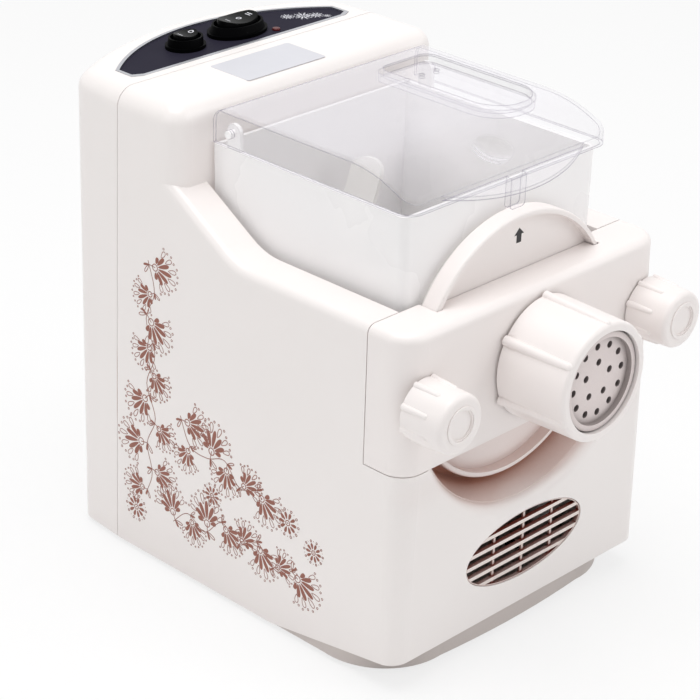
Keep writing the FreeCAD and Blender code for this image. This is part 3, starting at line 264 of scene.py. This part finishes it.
def clearWall(material, plan):
    # clear or milky sheet: open where it faces the eye, denser along its edges and seen end on; along
    # its edges a darker colour is painted as shade, standing in for refraction
    tree = material.node_tree
    shader = tree.nodes["Principled BSDF"]
    weight = tree.nodes.new("ShaderNodeLayerWeight")
    rise = mathNode(tree, "POWER", weight.outputs["Facing"], plan["power"])
    rise = mathNode(tree, "MULTIPLY", rise, plan["edgeOn"] - plan["faceOn"])
    alpha = mathNode(tree, "ADD", rise, plan["faceOn"])
    lines = tree.nodes.new("ShaderNodeGroup")
    lines.node_tree = edgeGroup
    lines.inputs["Width"].default_value = plan["rimWidth"]
    shade = mathNode(tree, "MULTIPLY", lines.outputs["Mask"], plan["edgeShadeAmount"])
    rimAlpha = mathNode(tree, "MULTIPLY", shade, plan["rimAlpha"])
    tree.links.new(mathNode(tree, "MAXIMUM", alpha, rimAlpha), shader.inputs["Alpha"])
    skin = shader.inputs["Base Color"].links[0].from_socket
    # painted edge shade: the edge mask blends a darker colour in, as refraction would show
    edgeShadedSkin = mixColours(tree, shade, skin, rgb(*plan["edgeShadeColour"]))
    tree.links.new(edgeShadedSkin, shader.inputs["Base Color"])
    letLightThrough(material, plan["shadowTint"])
    return material


def letLightThrough(material, tint):
    # shadow rays pass through the sheet, as daylight does through thin plastic
    tree = material.node_tree
    path = tree.nodes.new("ShaderNodeLightPath")
    clear = tree.nodes.new("ShaderNodeBsdfTransparent")
    clear.inputs["Color"].default_value = tint
    mix = tree.nodes.new("ShaderNodeMixShader")
    tree.links.new(path.outputs["Is Shadow Ray"], mix.inputs[0])
    tree.links.new(tree.nodes["Principled BSDF"].outputs[0], mix.inputs[1])
    tree.links.new(clear.outputs[0], mix.inputs[2])
    tree.links.new(mix.outputs[0], tree.nodes["Material Output"].inputs["Surface"])


# the lid's edges are painted grey-violet as refraction shade; the bowl's edges a paler grey
lidSheet = {
    "faceOn": 0.04,
    "edgeOn": 0.8,
    "power": 2.6,
    "edgeShadeColour": (134, 129, 143),
    "edgeShadeAmount": 1.0,
    "rimAlpha": 0.95,
    "rimWidth": 1.4 * mm,
    "shadowTint": (0.98, 0.98, 0.98, 1.0),
}
bowlSheet = {
    "faceOn": 0.74,
    "edgeOn": 0.97,
    "power": 2.0,
    "edgeShadeColour": (214, 208, 210),
    "edgeShadeAmount": 0.5,
    "rimAlpha": 1.0,
    "rimWidth": 1.0 * mm,
    "shadowTint": (0.92, 0.91, 0.91, 1.0),
}
alongY = (1.0, 0.04, 1.0)
alongX = (0.04, 1.0, 1.0)
looks = {
    # painted warm shade in the shell's creases and in the scoop under the front plate
    "ivory_shell": plastic("ivoryShell", (244, 239, 237), (238, 232, 229), roughness=0.3, spread=0.08,
                           cloudSize=9.0, grainSize=1400.0, strength=0.12, creaseAmount=0.9,
                           **{"Coat Weight": 0.15, "Coat Roughness": 0.12}),
    # a weaker painted warm shade in the fittings' creases
    "ivory_fittings": plastic("ivoryFittings", (245, 239, 237), (239, 232, 229), roughness=0.36,
                              cloudSize=22.0, grainSize=1700.0, strength=0.15, creaseAmount=0.4),
    # the near-black crease colour is painted shade inside the die's holes, at full strength at every
    # height
    "die_plastic": plastic("dieAcetal", (232, 221, 219), (224, 211, 208), roughness=0.42,
                           cloudSize=60.0, grainSize=2200.0, strength=0.2, creaseAmount=0.75,
                           crease=(36, 22, 18), elsewhere=1.0),
    "clear_lid": clearWall(plastic("clearStyrene", (236, 233, 239), (228, 225, 233), roughness=0.06,
                                   spread=0.04, cloudSize=25.0, grainSize=120.0, grain=0.2,
                                   strength=0.05), lidSheet),
    "milky_bowl": clearWall(plastic("milkyBowl", (255, 254, 254), (252, 250, 251), roughness=0.28,
                                    cloudSize=18.0, grainSize=700.0, strength=0.1), bowlSheet),
    "white_auger": plastic("whiteAuger", (238, 236, 233), (226, 223, 219), roughness=0.4,
                           cloudSize=30.0, grainSize=1500.0),
    "panel_print": plastic("panelPrint", (40, 38, 51), (33, 31, 43), roughness=0.6, spread=0.12,
                           cloudSize=35.0, grainSize=2600.0, strength=0.3,
                           **{"Specular IOR Level": 0.04}),
    "silver_trim": metal("silverTrim", (206, 207, 211), (170, 172, 178), alongX, roughness=0.32),
    "black_rubber": plastic("blackRubber", (1, 1, 2), (5, 5, 6), roughness=0.5, spread=0.18,
                            cloudSize=60.0, grainSize=1800.0, strength=0.35,
                            **{"Specular IOR Level": 0.03}),
    "seal_rubber": plastic("sealSilicone", (226, 224, 221), (214, 211, 207), roughness=0.55,
                           cloudSize=40.0, grainSize=1500.0),
    "red_lens": plastic("redLens", (92, 22, 24), (70, 14, 16), roughness=0.15, cloudSize=300.0,
                        grainSize=2500.0, strength=0.1, **{"Specular IOR Level": 0.2}),
    # the red-brown crease colour, boosted, is painted shade between the slats and behind them
    "grille_plastic": plastic("grillePlastic", (240, 230, 224), (232, 220, 212), roughness=0.45,
                              cloudSize=35.0, grainSize=1500.0, creaseAmount=1.8, crease=(120, 44, 26),
                              elsewhere=1.0),
    "black_plastic": plastic("blackNylon", (2, 2, 3), (6, 6, 7), roughness=0.34, spread=0.15,
                             cloudSize=50.0, grainSize=2000.0, strength=0.25,
                             **{"Specular IOR Level": 0.04}),
    # darker and pinker than the shell: partly the base's own colour, partly painted shade from the
    # housing above
    "base_plastic": plastic("basePlastic", (206, 197, 193), (194, 184, 179), roughness=0.5,
                            cloudSize=16.0, grainSize=1100.0, strength=0.4),
    "case_plastic": plastic("caseNylon", (196, 194, 188), (176, 173, 166), roughness=0.5,
                            cloudSize=24.0, grainSize=1200.0, strength=0.4),
    "gear_nylon": plastic("gearNylon", (236, 232, 218), (222, 216, 198), roughness=0.45,
                          cloudSize=45.0, grainSize=1600.0),
    "component_black": plastic("componentResin", (34, 34, 36), (62, 60, 58), roughness=0.4,
                               cloudSize=140.0, cloudAmount=0.8, grainSize=1900.0),
    "circuit_green": plastic("boardLaminate", (38, 92, 58), (24, 66, 40), roughness=0.35,
                             cloudSize=260.0, cloudAmount=0.9, grainSize=2400.0),
    "steel": metal("turnedSteel", (186, 188, 192), (140, 142, 146), alongY),
    "zinc_screw": metal("zincScrew", (188, 190, 186), (150, 152, 150), (1.0, 1.0, 0.2), roughness=0.38),
    "brass_insert": metal("brassInsert", (196, 160, 92), (164, 126, 66), alongY),
    "bronze_bush": metal("bronzeBush", (172, 124, 80), (140, 94, 58), alongY, roughness=0.5),
    "lamination": metal("laminatedSteel", (120, 122, 126), (80, 82, 86), (0.05, 1.0, 0.05),
                        roughness=0.45, lineSize=2000.0),
    "copper_wire": metal("enamelledCopper", (176, 92, 52), (128, 58, 30), (0.1, 1.0, 0.1),
                         roughness=0.35, lineSize=1600.0, strength=0.5),
    "print_ink": plastic("printInk", (150, 92, 76), (134, 78, 62), roughness=0.42, cloudSize=160.0,
                         grainSize=2500.0, strength=0.15),
    "plate_film": plastic("plateFilm", (214, 214, 220), (204, 204, 211), roughness=0.3,
                          cloudSize=90.0, grainSize=2400.0, strength=0.1, **{"Metallic": 0.2}),
    "dark_ink": plastic("darkInk", (16, 15, 18), (26, 24, 28), roughness=0.4, cloudSize=200.0,
                        grainSize=2600.0),
    "pale_ink": plastic("paleInk", (214, 214, 220), (196, 196, 204), roughness=0.45,
                        cloudSize=220.0, grainSize=2600.0, strength=0.1),
}

for node in nodes.values():
    for place in node.material_slots:
        place.material = looks[place.material.name.split(".")[0]]
print("materials set,", len(looks), "finishes")


# Pieces made here

def finishPiece(name, bm, body, material, smooth=False):
    bmesh.ops.recalc_face_normals(bm, faces=bm.faces[:])
    mesh = bpy.data.meshes.new(name)
    bm.to_mesh(mesh)
    bm.free()
    for polygon in mesh.polygons:
        polygon.use_smooth = smooth
    mesh.materials.append(material)
    piece = bpy.data.objects.new(name, mesh)
    bpy.context.scene.collection.objects.link(piece)
    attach(piece, body)
    print("piece", name, len(mesh.polygons), "faces")
    return piece


def raiseFaces(bm, shift):
    # a flat drawing becomes a film that stands on the surface
    made = bmesh.ops.extrude_face_region(bm, geom=bm.faces[:])
    raised = [g for g in made["geom"] if isinstance(g, bmesh.types.BMVert)]
    bmesh.ops.translate(bm, verts=raised, vec=shift)


def hollowOut(bm, face, line):
    # leaves a border of the line's width inside the face's outline
    bmesh.ops.inset_region(bm, faces=[face], thickness=line, use_boundary=True,
                           use_even_offset=True)
    bmesh.ops.delete(bm, geom=[face], context="FACES")


def addPetal(bm, at, turn, length, width, line=0.0, tip=0.6, sides=14):
    # a pointed oval from its foot at "at"; with a line width it is an outline only
    made = bmesh.ops.create_circle(bm, cap_ends=True, segments=sides, radius=0.5)
    verts = made["verts"]
    footWidth = 0.45
    for v in verts:
        share = v.co.x + 0.5
        v.co = (share * length, v.co.y * width * (footWidth + tip * share), 0)
    bmesh.ops.rotate(bm, verts=verts, cent=(0, 0, 0), matrix=Matrix.Rotation(turn, 3, "Z"))
    bmesh.ops.translate(bm, verts=verts, vec=(at[0], at[1], 0))
    if line:
        hollowOut(bm, verts[0].link_faces[0], line)


def addLine(bm, points, width):
    # a thin stroke through the points
    for start, end in zip(points[:-1], points[1:]):
        run = Vector(end) - Vector(start)
        made = bmesh.ops.create_grid(bm, x_segments=1, y_segments=1, size=0.5)
        verts = made["verts"]
        bmesh.ops.scale(bm, verts=verts, vec=(run.length + width, width, 1))
        bmesh.ops.rotate(bm, verts=verts, cent=(0, 0, 0),
                         matrix=Matrix.Rotation(math.atan2(run.y, run.x), 3, "Z"))
        middle = (Vector(start) + Vector(end)) / 2
        bmesh.ops.translate(bm, verts=verts, vec=(middle.x, middle.y, 0))


# Floral print on the left flank: daisies and lace-edged fans to either side of three wavy stems
vinePlan = {
    "film": 0.08 * mm,
    "step": 0.006,
    "layers": 5,
    "daisyLayer": 7,
    "flank": -102.5 * mm,
    "line": 0.5,
    "stemLine": 0.8,
    "spacing": 14.5,
    "lean": 1.15,
    "footReach": 0.3,
    "fanSize": 0.82,
    "leafLean": 0.9,
    "leafSize": 0.8,
    "sizes": (16.5, 13.5, 17.5, 15.0, 14.0),
    "stems": [
        [(74, 190), (69, 172), (76, 154), (69, 134), (76, 114), (69, 94), (76, 76), (72, 58), (77, 44)],
        [(54, 34), (42, 44), (28, 38), (14, 50), (0, 42), (-14, 50), (-30, 38), (-46, 46)],
        [(48, 104), (40, 88), (26, 86), (12, 90), (0, 78), (-14, 82)],
    ],
    "daisies": [(-38, 72, 7), (86, 30, 7), (22, 64, 6), (-58, 62, 6)],
}

# The motifs' parts, in shares of the motif's size and of the print's line width
daisyPlan = {
    "count": 10,
    "petals": [
        {"reach": 0.34, "length": 0.6, "width": 0.34},
        {"reach": 1.0, "length": 0.3, "width": 0.3, "line": 0.7, "sides": 8},
        {"reach": 1.12, "swing": 0.31, "length": 0.1, "width": 0.1, "tip": 0.1, "sides": 6},
    ],
    "ring": 0.26,
    "eye": {"reach": -0.08, "length": 0.16, "width": 0.2, "tip": 0.1, "sides": 8},
}
fanPlan = {
    "foot": 0.2,
    "lean": 0.44,
    "width": 0.24,
    "tips": (1.0, 0.9, 0.78, 0.52),
    "laceSteps": (-2.5, -1.5, -0.5, 0.5, 1.5, 2.5),
    "laceLean": 0.42,
    "laceReach": 1.2,
    "laceFall": 0.1,
    "lacePetal": {"reach": 0.7, "length": 0.42, "width": 0.26, "line": 0.7},
    "bead": {"swings": (-0.12, 0.12), "reach": 1.18, "radius": 0.055, "line": 0.6},
    "ring": 0.17,
}
leafPlan = [
    {"lean": 0.0, "reach": 0.0, "length": 0.5, "width": 0.2, "line": 0.8, "sides": 10},
    {"lean": 0.75, "reach": 0.0, "length": 0.36, "width": 0.14, "sides": 10},
]


def addRing(bm, x, y, radius, line, sides=20):
    made = bmesh.ops.create_circle(bm, cap_ends=True, segments=sides, radius=radius)
    bmesh.ops.translate(bm, verts=made["verts"], vec=(x, y, 0))
    hollowOut(bm, made["verts"][0].link_faces[0], line)


def onArc(x, y, turn, reach):
    return x + reach * math.cos(turn), y + reach * math.sin(turn)


def addPart(bm, x, y, turn, size, line, part):
    # one petal, bead or leaf of a motif whose foot is at x, y
    at = onArc(x, y, turn + part.get("swing", 0.0), part["reach"] * size)
    addPetal(bm, at, turn, part["length"] * size, part["width"] * size,
             line=part.get("line", 0.0) * line, tip=part.get("tip", 0.6), sides=part.get("sides", 14))


def addDaisy(bm, x, y, size, line, plan):
    # round flower: full petals, outlined tips, beads, then a ring and an eye
    for k in range(plan["count"]):
        turn = 2 * math.pi * k / plan["count"]
        for part in plan["petals"]:
            addPart(bm, x, y, turn, size, line, part)
    addRing(bm, x, y, plan["ring"] * size, line)
    addPart(bm, x, y, 0, size, line, plan["eye"])


def addFan(bm, x, y, turn, size, line, plan):
    # half flower: full petals between outlined ones, then a lace edge with beads
    foot = plan["foot"] * size
    last = len(plan["tips"]) - 1
    for k in range(-last, last + 1):
        lean = turn + plan["lean"] * k
        addPetal(bm, onArc(x, y, lean, foot), lean, plan["tips"][abs(k)] * size - foot,
                 plan["width"] * size)
    petal, bead = plan["lacePetal"], plan["bead"]
    for k in plan["laceSteps"]:
        lean = turn + plan["laceLean"] * k
        rim = (plan["laceReach"] - plan["laceFall"] * abs(k)) * size
        addPetal(bm, onArc(x, y, lean, petal["reach"] * rim), lean, petal["length"] * rim,
                 petal["width"] * size, line=line * petal["line"])
        for swing in bead["swings"]:
            addRing(bm, *onArc(x, y, lean + swing, bead["reach"] * rim), bead["radius"] * size,
                    line * bead["line"], sides=8)
    addRing(bm, x, y, plan["ring"] * size, line, sides=14)


def addLeaf(bm, x, y, turn, size, line, plan):
    # outlined leaf with a full one beside it
    for part in plan:
        addPart(bm, x, y, turn + part["lean"], size, line, part)


def smoothPath(points, steps=6):
    # the stem's points, rounded by a Catmull-Rom pass
    rows = [points[0]] + points + [points[-1]]
    path = []
    for a, b, c, d in zip(rows, rows[1:], rows[2:], rows[3:]):
        for step in range(steps):
            t = step / steps
            path.append(tuple(
                0.5 * (2 * q + (r - p) * t + (2 * p - 5 * q + 4 * r - s) * t * t
                       + (3 * q - p - 3 * r + s) * t ** 3)
                for p, q, r, s in zip(a, b, c, d)))
    return path + [points[-1]]


def liftFrom(bm, first, height):
    # later motifs stand a hair higher, so overlapping films don't share a face
    bm.verts.ensure_lookup_table()
    bmesh.ops.translate(bm, verts=bm.verts[first:], vec=(0, 0, height))


def dressStem(bm, points, plan):
    # fans lean out to either side, turn about, with a leaf opposite each
    path = smoothPath(points)
    line = plan["line"]
    stemLine = line * plan["stemLine"]
    addLine(bm, path, stemLine)
    walked, count = plan["spacing"], 0
    for start, end in zip(path, path[1:]):
        walked += math.dist(start, end)
        if walked < plan["spacing"]:
            continue
        walked = 0.0
        side = 1 if count % 2 else -1
        size = plan["sizes"][count % len(plan["sizes"])]
        heading = math.atan2(end[1] - start[1], end[0] - start[0])
        lean = heading + side * plan["lean"]
        foot = onArc(*end, lean, plan["footReach"] * size)
        first = len(bm.verts)
        addLine(bm, [end, foot], stemLine)
        addFan(bm, *foot, lean, plan["fanSize"] * size, line, fanPlan)
        addLeaf(bm, *end, heading - side * plan["leafLean"], plan["leafSize"] * size, line, leafPlan)
        liftFrom(bm, first, plan["step"] * (1 + count % plan["layers"]))
        count += 1


def makeVinePrint(plan):
    bm = bmesh.new()
    for points in plan["stems"]:
        dressStem(bm, points, plan)
    for x, y, size in plan["daisies"]:
        first = len(bm.verts)
        addDaisy(bm, x, y, size, plan["line"], daisyPlan)
        liftFrom(bm, first, plan["step"] * plan["daisyLayer"])
    bmesh.ops.scale(bm, verts=bm.verts[:], vec=(mm, mm, mm))
    raiseFaces(bm, (0, 0, plan["film"]))
    # drawing's x is the body's Y, its y is Z, and its height points out of the flank
    turned = Matrix(((0, 0, -1, plan["flank"]), (1, 0, 0, 0), (0, 1, 0, 0), (0, 0, 0, 1)))
    bmesh.ops.transform(bm, matrix=turned, verts=bm.verts[:])
    return finishPiece("vine_print", bm, "housing", looks["print_ink"])


makeVinePrint(vinePlan)


# Blank plate on the tower's top, where the machine's notice sits
noticePlan = {
    "centre": (-11.3 * mm, 75.45 * mm),
    "size": (60 * mm, 31 * mm),
    "top": 283 * mm,
    "film": 0.15 * mm,
    "corner": 1.5 * mm,
    "cornerSteps": 4,
}


def makeNoticePlate(plan):
    bm = bmesh.new()
    made = bmesh.ops.create_grid(bm, x_segments=1, y_segments=1, size=0.5)
    bmesh.ops.scale(bm, verts=made["verts"], vec=(*plan["size"], 1))
    bmesh.ops.bevel(bm, geom=bm.verts[:], offset=plan["corner"], segments=plan["cornerSteps"],
                    affect="VERTICES", profile=0.5, material=-1)
    raiseFaces(bm, (0, 0, plan["film"]))
    bmesh.ops.translate(bm, verts=bm.verts[:], vec=(*plan["centre"], plan["top"]))
    return finishPiece("notice_plate", bm, "housing", looks["plate_film"])


makeNoticePlate(noticePlan)


# Marks printed on curved or sunk faces

def dropOnto(bm, nodeName, direction, film):
    # each vertex travels along direction until it meets the node, then stands film high
    mesh = nodes[nodeName].data
    tree = BVHTree.FromPolygons([v.co for v in mesh.vertices], [p.vertices for p in mesh.polygons])
    direction = Vector(direction)
    runUp = 100 * mm
    for v in bm.verts:
        hit = tree.ray_cast(v.co - direction * runUp, direction)[0]
        if hit:
            v.co = hit
    bm.normal_update()
    raiseFaces(bm, -direction * film)


arrowPlan = {
    "centre": (4.5 * mm, 229.7 * mm),
    "height": 8.4 * mm,
    "head": 7.6 * mm,
    "shaft": 3.8 * mm,
    "film": 0.1 * mm,
    "front": -98.25 * mm,
}


def makeArrow(plan):
    # an upright arrow for the plate's turning position
    bm = bmesh.new()
    x, z = plan["centre"]
    half, head, shaft = plan["height"] / 2, plan["head"] / 2, plan["shaft"] / 2
    outline = [(-shaft, -half), (shaft, -half), (shaft, half - head), (head, half - head),
               (0, half), (-head, half - head), (-shaft, half - head)]
    bm.faces.new([bm.verts.new((x + a, plan["front"], z + b)) for a, b in outline])
    dropOnto(bm, "front_plate", (0, 1, 0), plan["film"])
    return finishPiece("plate_arrow", bm, "front_clamp", looks["dark_ink"])


makeArrow(arrowPlan)


# Bars and rings on the rockers, small flowers at the panel's end, raised rings on the knobs
markPlan = {
    "line": 0.65 * mm,
    "bar": 3.4 * mm,
    "ring": 1.7 * mm,
    "film": 0.08 * mm,
    "cuts": 2,
    "rockers": {
        "large_rocker": [("bar", -7.5), ("ring", 1.0), ("bar", 8.0), ("bar", 9.6)],
        "small_rocker": [("bar", -4.2), ("ring", 4.0)],
    },
}
panelFlowerPlan = {
    "top": 282.4 * mm,
    "film": 0.08 * mm,
    "line": 0.35,
    "daisies": [(60, 120, 4.6), (67, 116, 3.4), (52, 125, 3.2), (71, 111, 1.8)],
}
ringPlan = {
    "radius": 10.6 * mm,
    "width": 1.9 * mm,
    "height": 0.7 * mm,
    "sides": 64,
    "round": 0.3 * mm,
    "roundSteps": 3,
    "slack": 0.01 * mm,
}


def makeRockerMarks(plan, node, marks):
    bm = bmesh.new()
    low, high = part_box(node)
    middle = (Vector(low) + Vector(high)) / 2
    half = plan["bar"] / 2
    for kind, offset in marks:
        x = middle.x + offset * mm
        if kind == "bar":
            addLine(bm, [(x, middle.y - half), (x, middle.y + half)], plan["line"])
        else:
            addRing(bm, x, middle.y, plan["ring"], plan["line"])
    bmesh.ops.subdivide_edges(bm, edges=bm.edges[:], cuts=plan["cuts"], use_grid_fill=True)
    bmesh.ops.translate(bm, verts=bm.verts[:], vec=(0, 0, high[2]))
    dropOnto(bm, node, (0, 0, -1), plan["film"])
    return finishPiece(node + "_marks", bm, node, looks["pale_ink"])


def makePanelFlowers(plan):
    bm = bmesh.new()
    for x, y, size in plan["daisies"]:
        addDaisy(bm, x, y, size, plan["line"], daisyPlan)
    bmesh.ops.scale(bm, verts=bm.verts[:], vec=(mm, mm, mm))
    raiseFaces(bm, (0, 0, plan["film"]))
    bmesh.ops.translate(bm, verts=bm.verts[:], vec=(0, 0, plan["top"]))
    return finishPiece("panel_flowers", bm, "housing", looks["pale_ink"])


def makeKnobRing(plan, side):
    # rounded bead round the knob's cap
    low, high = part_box("knob_insert_" + side)
    middle = (Vector(low) + Vector(high)) / 2
    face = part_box("knob_" + side)[0][1]
    radius = plan["radius"]
    bm = bmesh.new()
    bmesh.ops.create_circle(bm, segments=plan["sides"], radius=radius)
    ring = bmesh.ops.extrude_edge_only(bm, edges=bm.edges[:])
    inner = [g for g in ring["geom"] if isinstance(g, bmesh.types.BMVert)]
    shrink = (radius - plan["width"]) / radius
    bmesh.ops.scale(bm, verts=inner, vec=(shrink, shrink, 1))
    raiseFaces(bm, (0, 0, plan["height"]))
    rims = [e for e in bm.edges if all(v.co.z > plan["height"] / 2 for v in e.verts)
            and abs(e.verts[0].co.length - e.verts[1].co.length) < plan["slack"]]
    bmesh.ops.bevel(bm, geom=rims, offset=plan["round"], segments=plan["roundSteps"],
                    affect="EDGES", profile=0.5, material=-1)
    bmesh.ops.rotate(bm, verts=bm.verts[:], cent=(0, 0, 0),
                     matrix=Matrix.Rotation(math.pi / 2, 3, "X"))
    bmesh.ops.translate(bm, verts=bm.verts[:], vec=(middle.x, face, middle.z))
    return finishPiece("knob_ring_" + side, bm, side + "_knob", looks["ivory_fittings"],
                       smooth=True)


for rocker, marks in markPlan["rockers"].items():
    makeRockerMarks(markPlan, rocker, marks)
makePanelFlowers(panelFlowerPlan)
for side in ("left", "right"):
    makeKnobRing(ringPlan, side)


# Camera, lamps, floor and world
cameraPlan = {
    "place": (-0.91561, -0.85070, 0.74249),
    "azimuth": -45.98,
    "elevation": 26.26,
    "roll": 1.56,
    "sensor": 36.0,
    "lens": 126.44,
    "shiftX": 0.0310,
    "shiftY": 0.0034,
}
lampPlan = [
    {"name": "keyPanel", "place": (1.1, -1.6, 1.2), "size": 1.4, "power": 8.5},
    {"name": "topPanel", "place": (-0.2, 0.1, 1.9), "size": 1.6, "power": 19.0},
    {"name": "sidePanel", "place": (-1.8, 0.2, 0.9), "size": 1.4, "power": 3.5},
]
lampAim = Vector((0, 0, 0.14))
backPlan = {
    "floorSize": 8.0,
    "floorColour": (0.92, 0.92, 0.92, 1.0),
    "floorRoughness": 0.9,
    "floorShine": 0.75,
    "worldLight": 0.53,
    "white": (1, 1, 1, 1),
}


def makeCamera(plan):
    data = bpy.data.cameras.new("photoCamera")
    data.sensor_width = plan["sensor"]
    data.lens = plan["lens"]
    data.shift_x = plan["shiftX"]
    data.shift_y = plan["shiftY"]
    camera = bpy.data.objects.new("photoCamera", data)
    turn = (Matrix.Rotation(math.radians(plan["azimuth"]), 4, "Z")
            @ Matrix.Rotation(math.radians(90 - plan["elevation"]), 4, "X")
            @ Matrix.Rotation(math.radians(plan["roll"]), 4, "Z"))
    camera.matrix_world = Matrix.Translation(plan["place"]) @ turn
    bpy.context.scene.collection.objects.link(camera)
    bpy.context.scene.camera = camera


def makeLamps(plans, aim):
    for plan in plans:
        data = bpy.data.lights.new(plan["name"], "AREA")
        data.shape = "DISK"
        data.size = plan["size"]
        data.energy = plan["power"]
        lamp = bpy.data.objects.new(plan["name"], data)
        lamp.location = plan["place"]
        lamp.rotation_euler = (aim - lamp.location).to_track_quat("-Z", "Y").to_euler()
        bpy.context.scene.collection.objects.link(lamp)


def seenDirectly(tree):
    # 1 for rays from the camera, or seen in gloss or through clear plastic
    path = tree.nodes.new("ShaderNodeLightPath")
    gloss = mathNode(tree, "MAXIMUM", path.outputs["Is Glossy Ray"],
                     path.outputs["Is Transmission Ray"])
    return mathNode(tree, "MAXIMUM", path.outputs["Is Camera Ray"], gloss)


def makeFloor(plan):
    bm = bmesh.new()
    bmesh.ops.create_grid(bm, x_segments=1, y_segments=1, size=plan["floorSize"] / 2)
    mesh = bpy.data.meshes.new("studioFloor")
    bm.to_mesh(mesh)
    bm.free()
    material = bpy.data.materials.new("paleFloor")
    material.use_nodes = True
    tree = material.node_tree
    shader = tree.nodes["Principled BSDF"]
    shader.inputs["Base Color"].default_value = plan["floorColour"]
    shader.inputs["Roughness"].default_value = plan["floorRoughness"]
    glow = tree.nodes.new("ShaderNodeEmission")
    mix = tree.nodes.new("ShaderNodeMixShader")
    tree.links.new(mathNode(tree, "MULTIPLY", seenDirectly(tree), plan["floorShine"]), mix.inputs[0])
    tree.links.new(shader.outputs[0], mix.inputs[1])
    tree.links.new(glow.outputs[0], mix.inputs[2])
    tree.links.new(mix.outputs[0], tree.nodes["Material Output"].inputs["Surface"])
    mesh.materials.append(material)
    floor = bpy.data.objects.new("studioFloor", mesh)
    bpy.context.scene.collection.objects.link(floor)


def makeWorld(plan):
    world = bpy.data.worlds.new("paleStudio")
    world.use_nodes = True
    tree = world.node_tree
    light = tree.nodes["Background"]
    light.inputs["Strength"].default_value = plan["worldLight"]
    light.inputs["Color"].default_value = plan["white"]
    seen = tree.nodes.new("ShaderNodeBackground")
    seen.inputs["Color"].default_value = plan["white"]
    mix = tree.nodes.new("ShaderNodeMixShader")
    tree.links.new(seenDirectly(tree), mix.inputs[0])
    tree.links.new(light.outputs[0], mix.inputs[1])
    tree.links.new(seen.outputs[0], mix.inputs[2])
    tree.links.new(mix.outputs[0], tree.nodes["World Output"].inputs["Surface"])
    bpy.context.scene.world = world


makeCamera(cameraPlan)
makeLamps(lampPlan, lampAim)
makeFloor(backPlan)
makeWorld(backPlan)
bpy.context.scene.view_settings.view_transform = "Standard"
print("stage set")
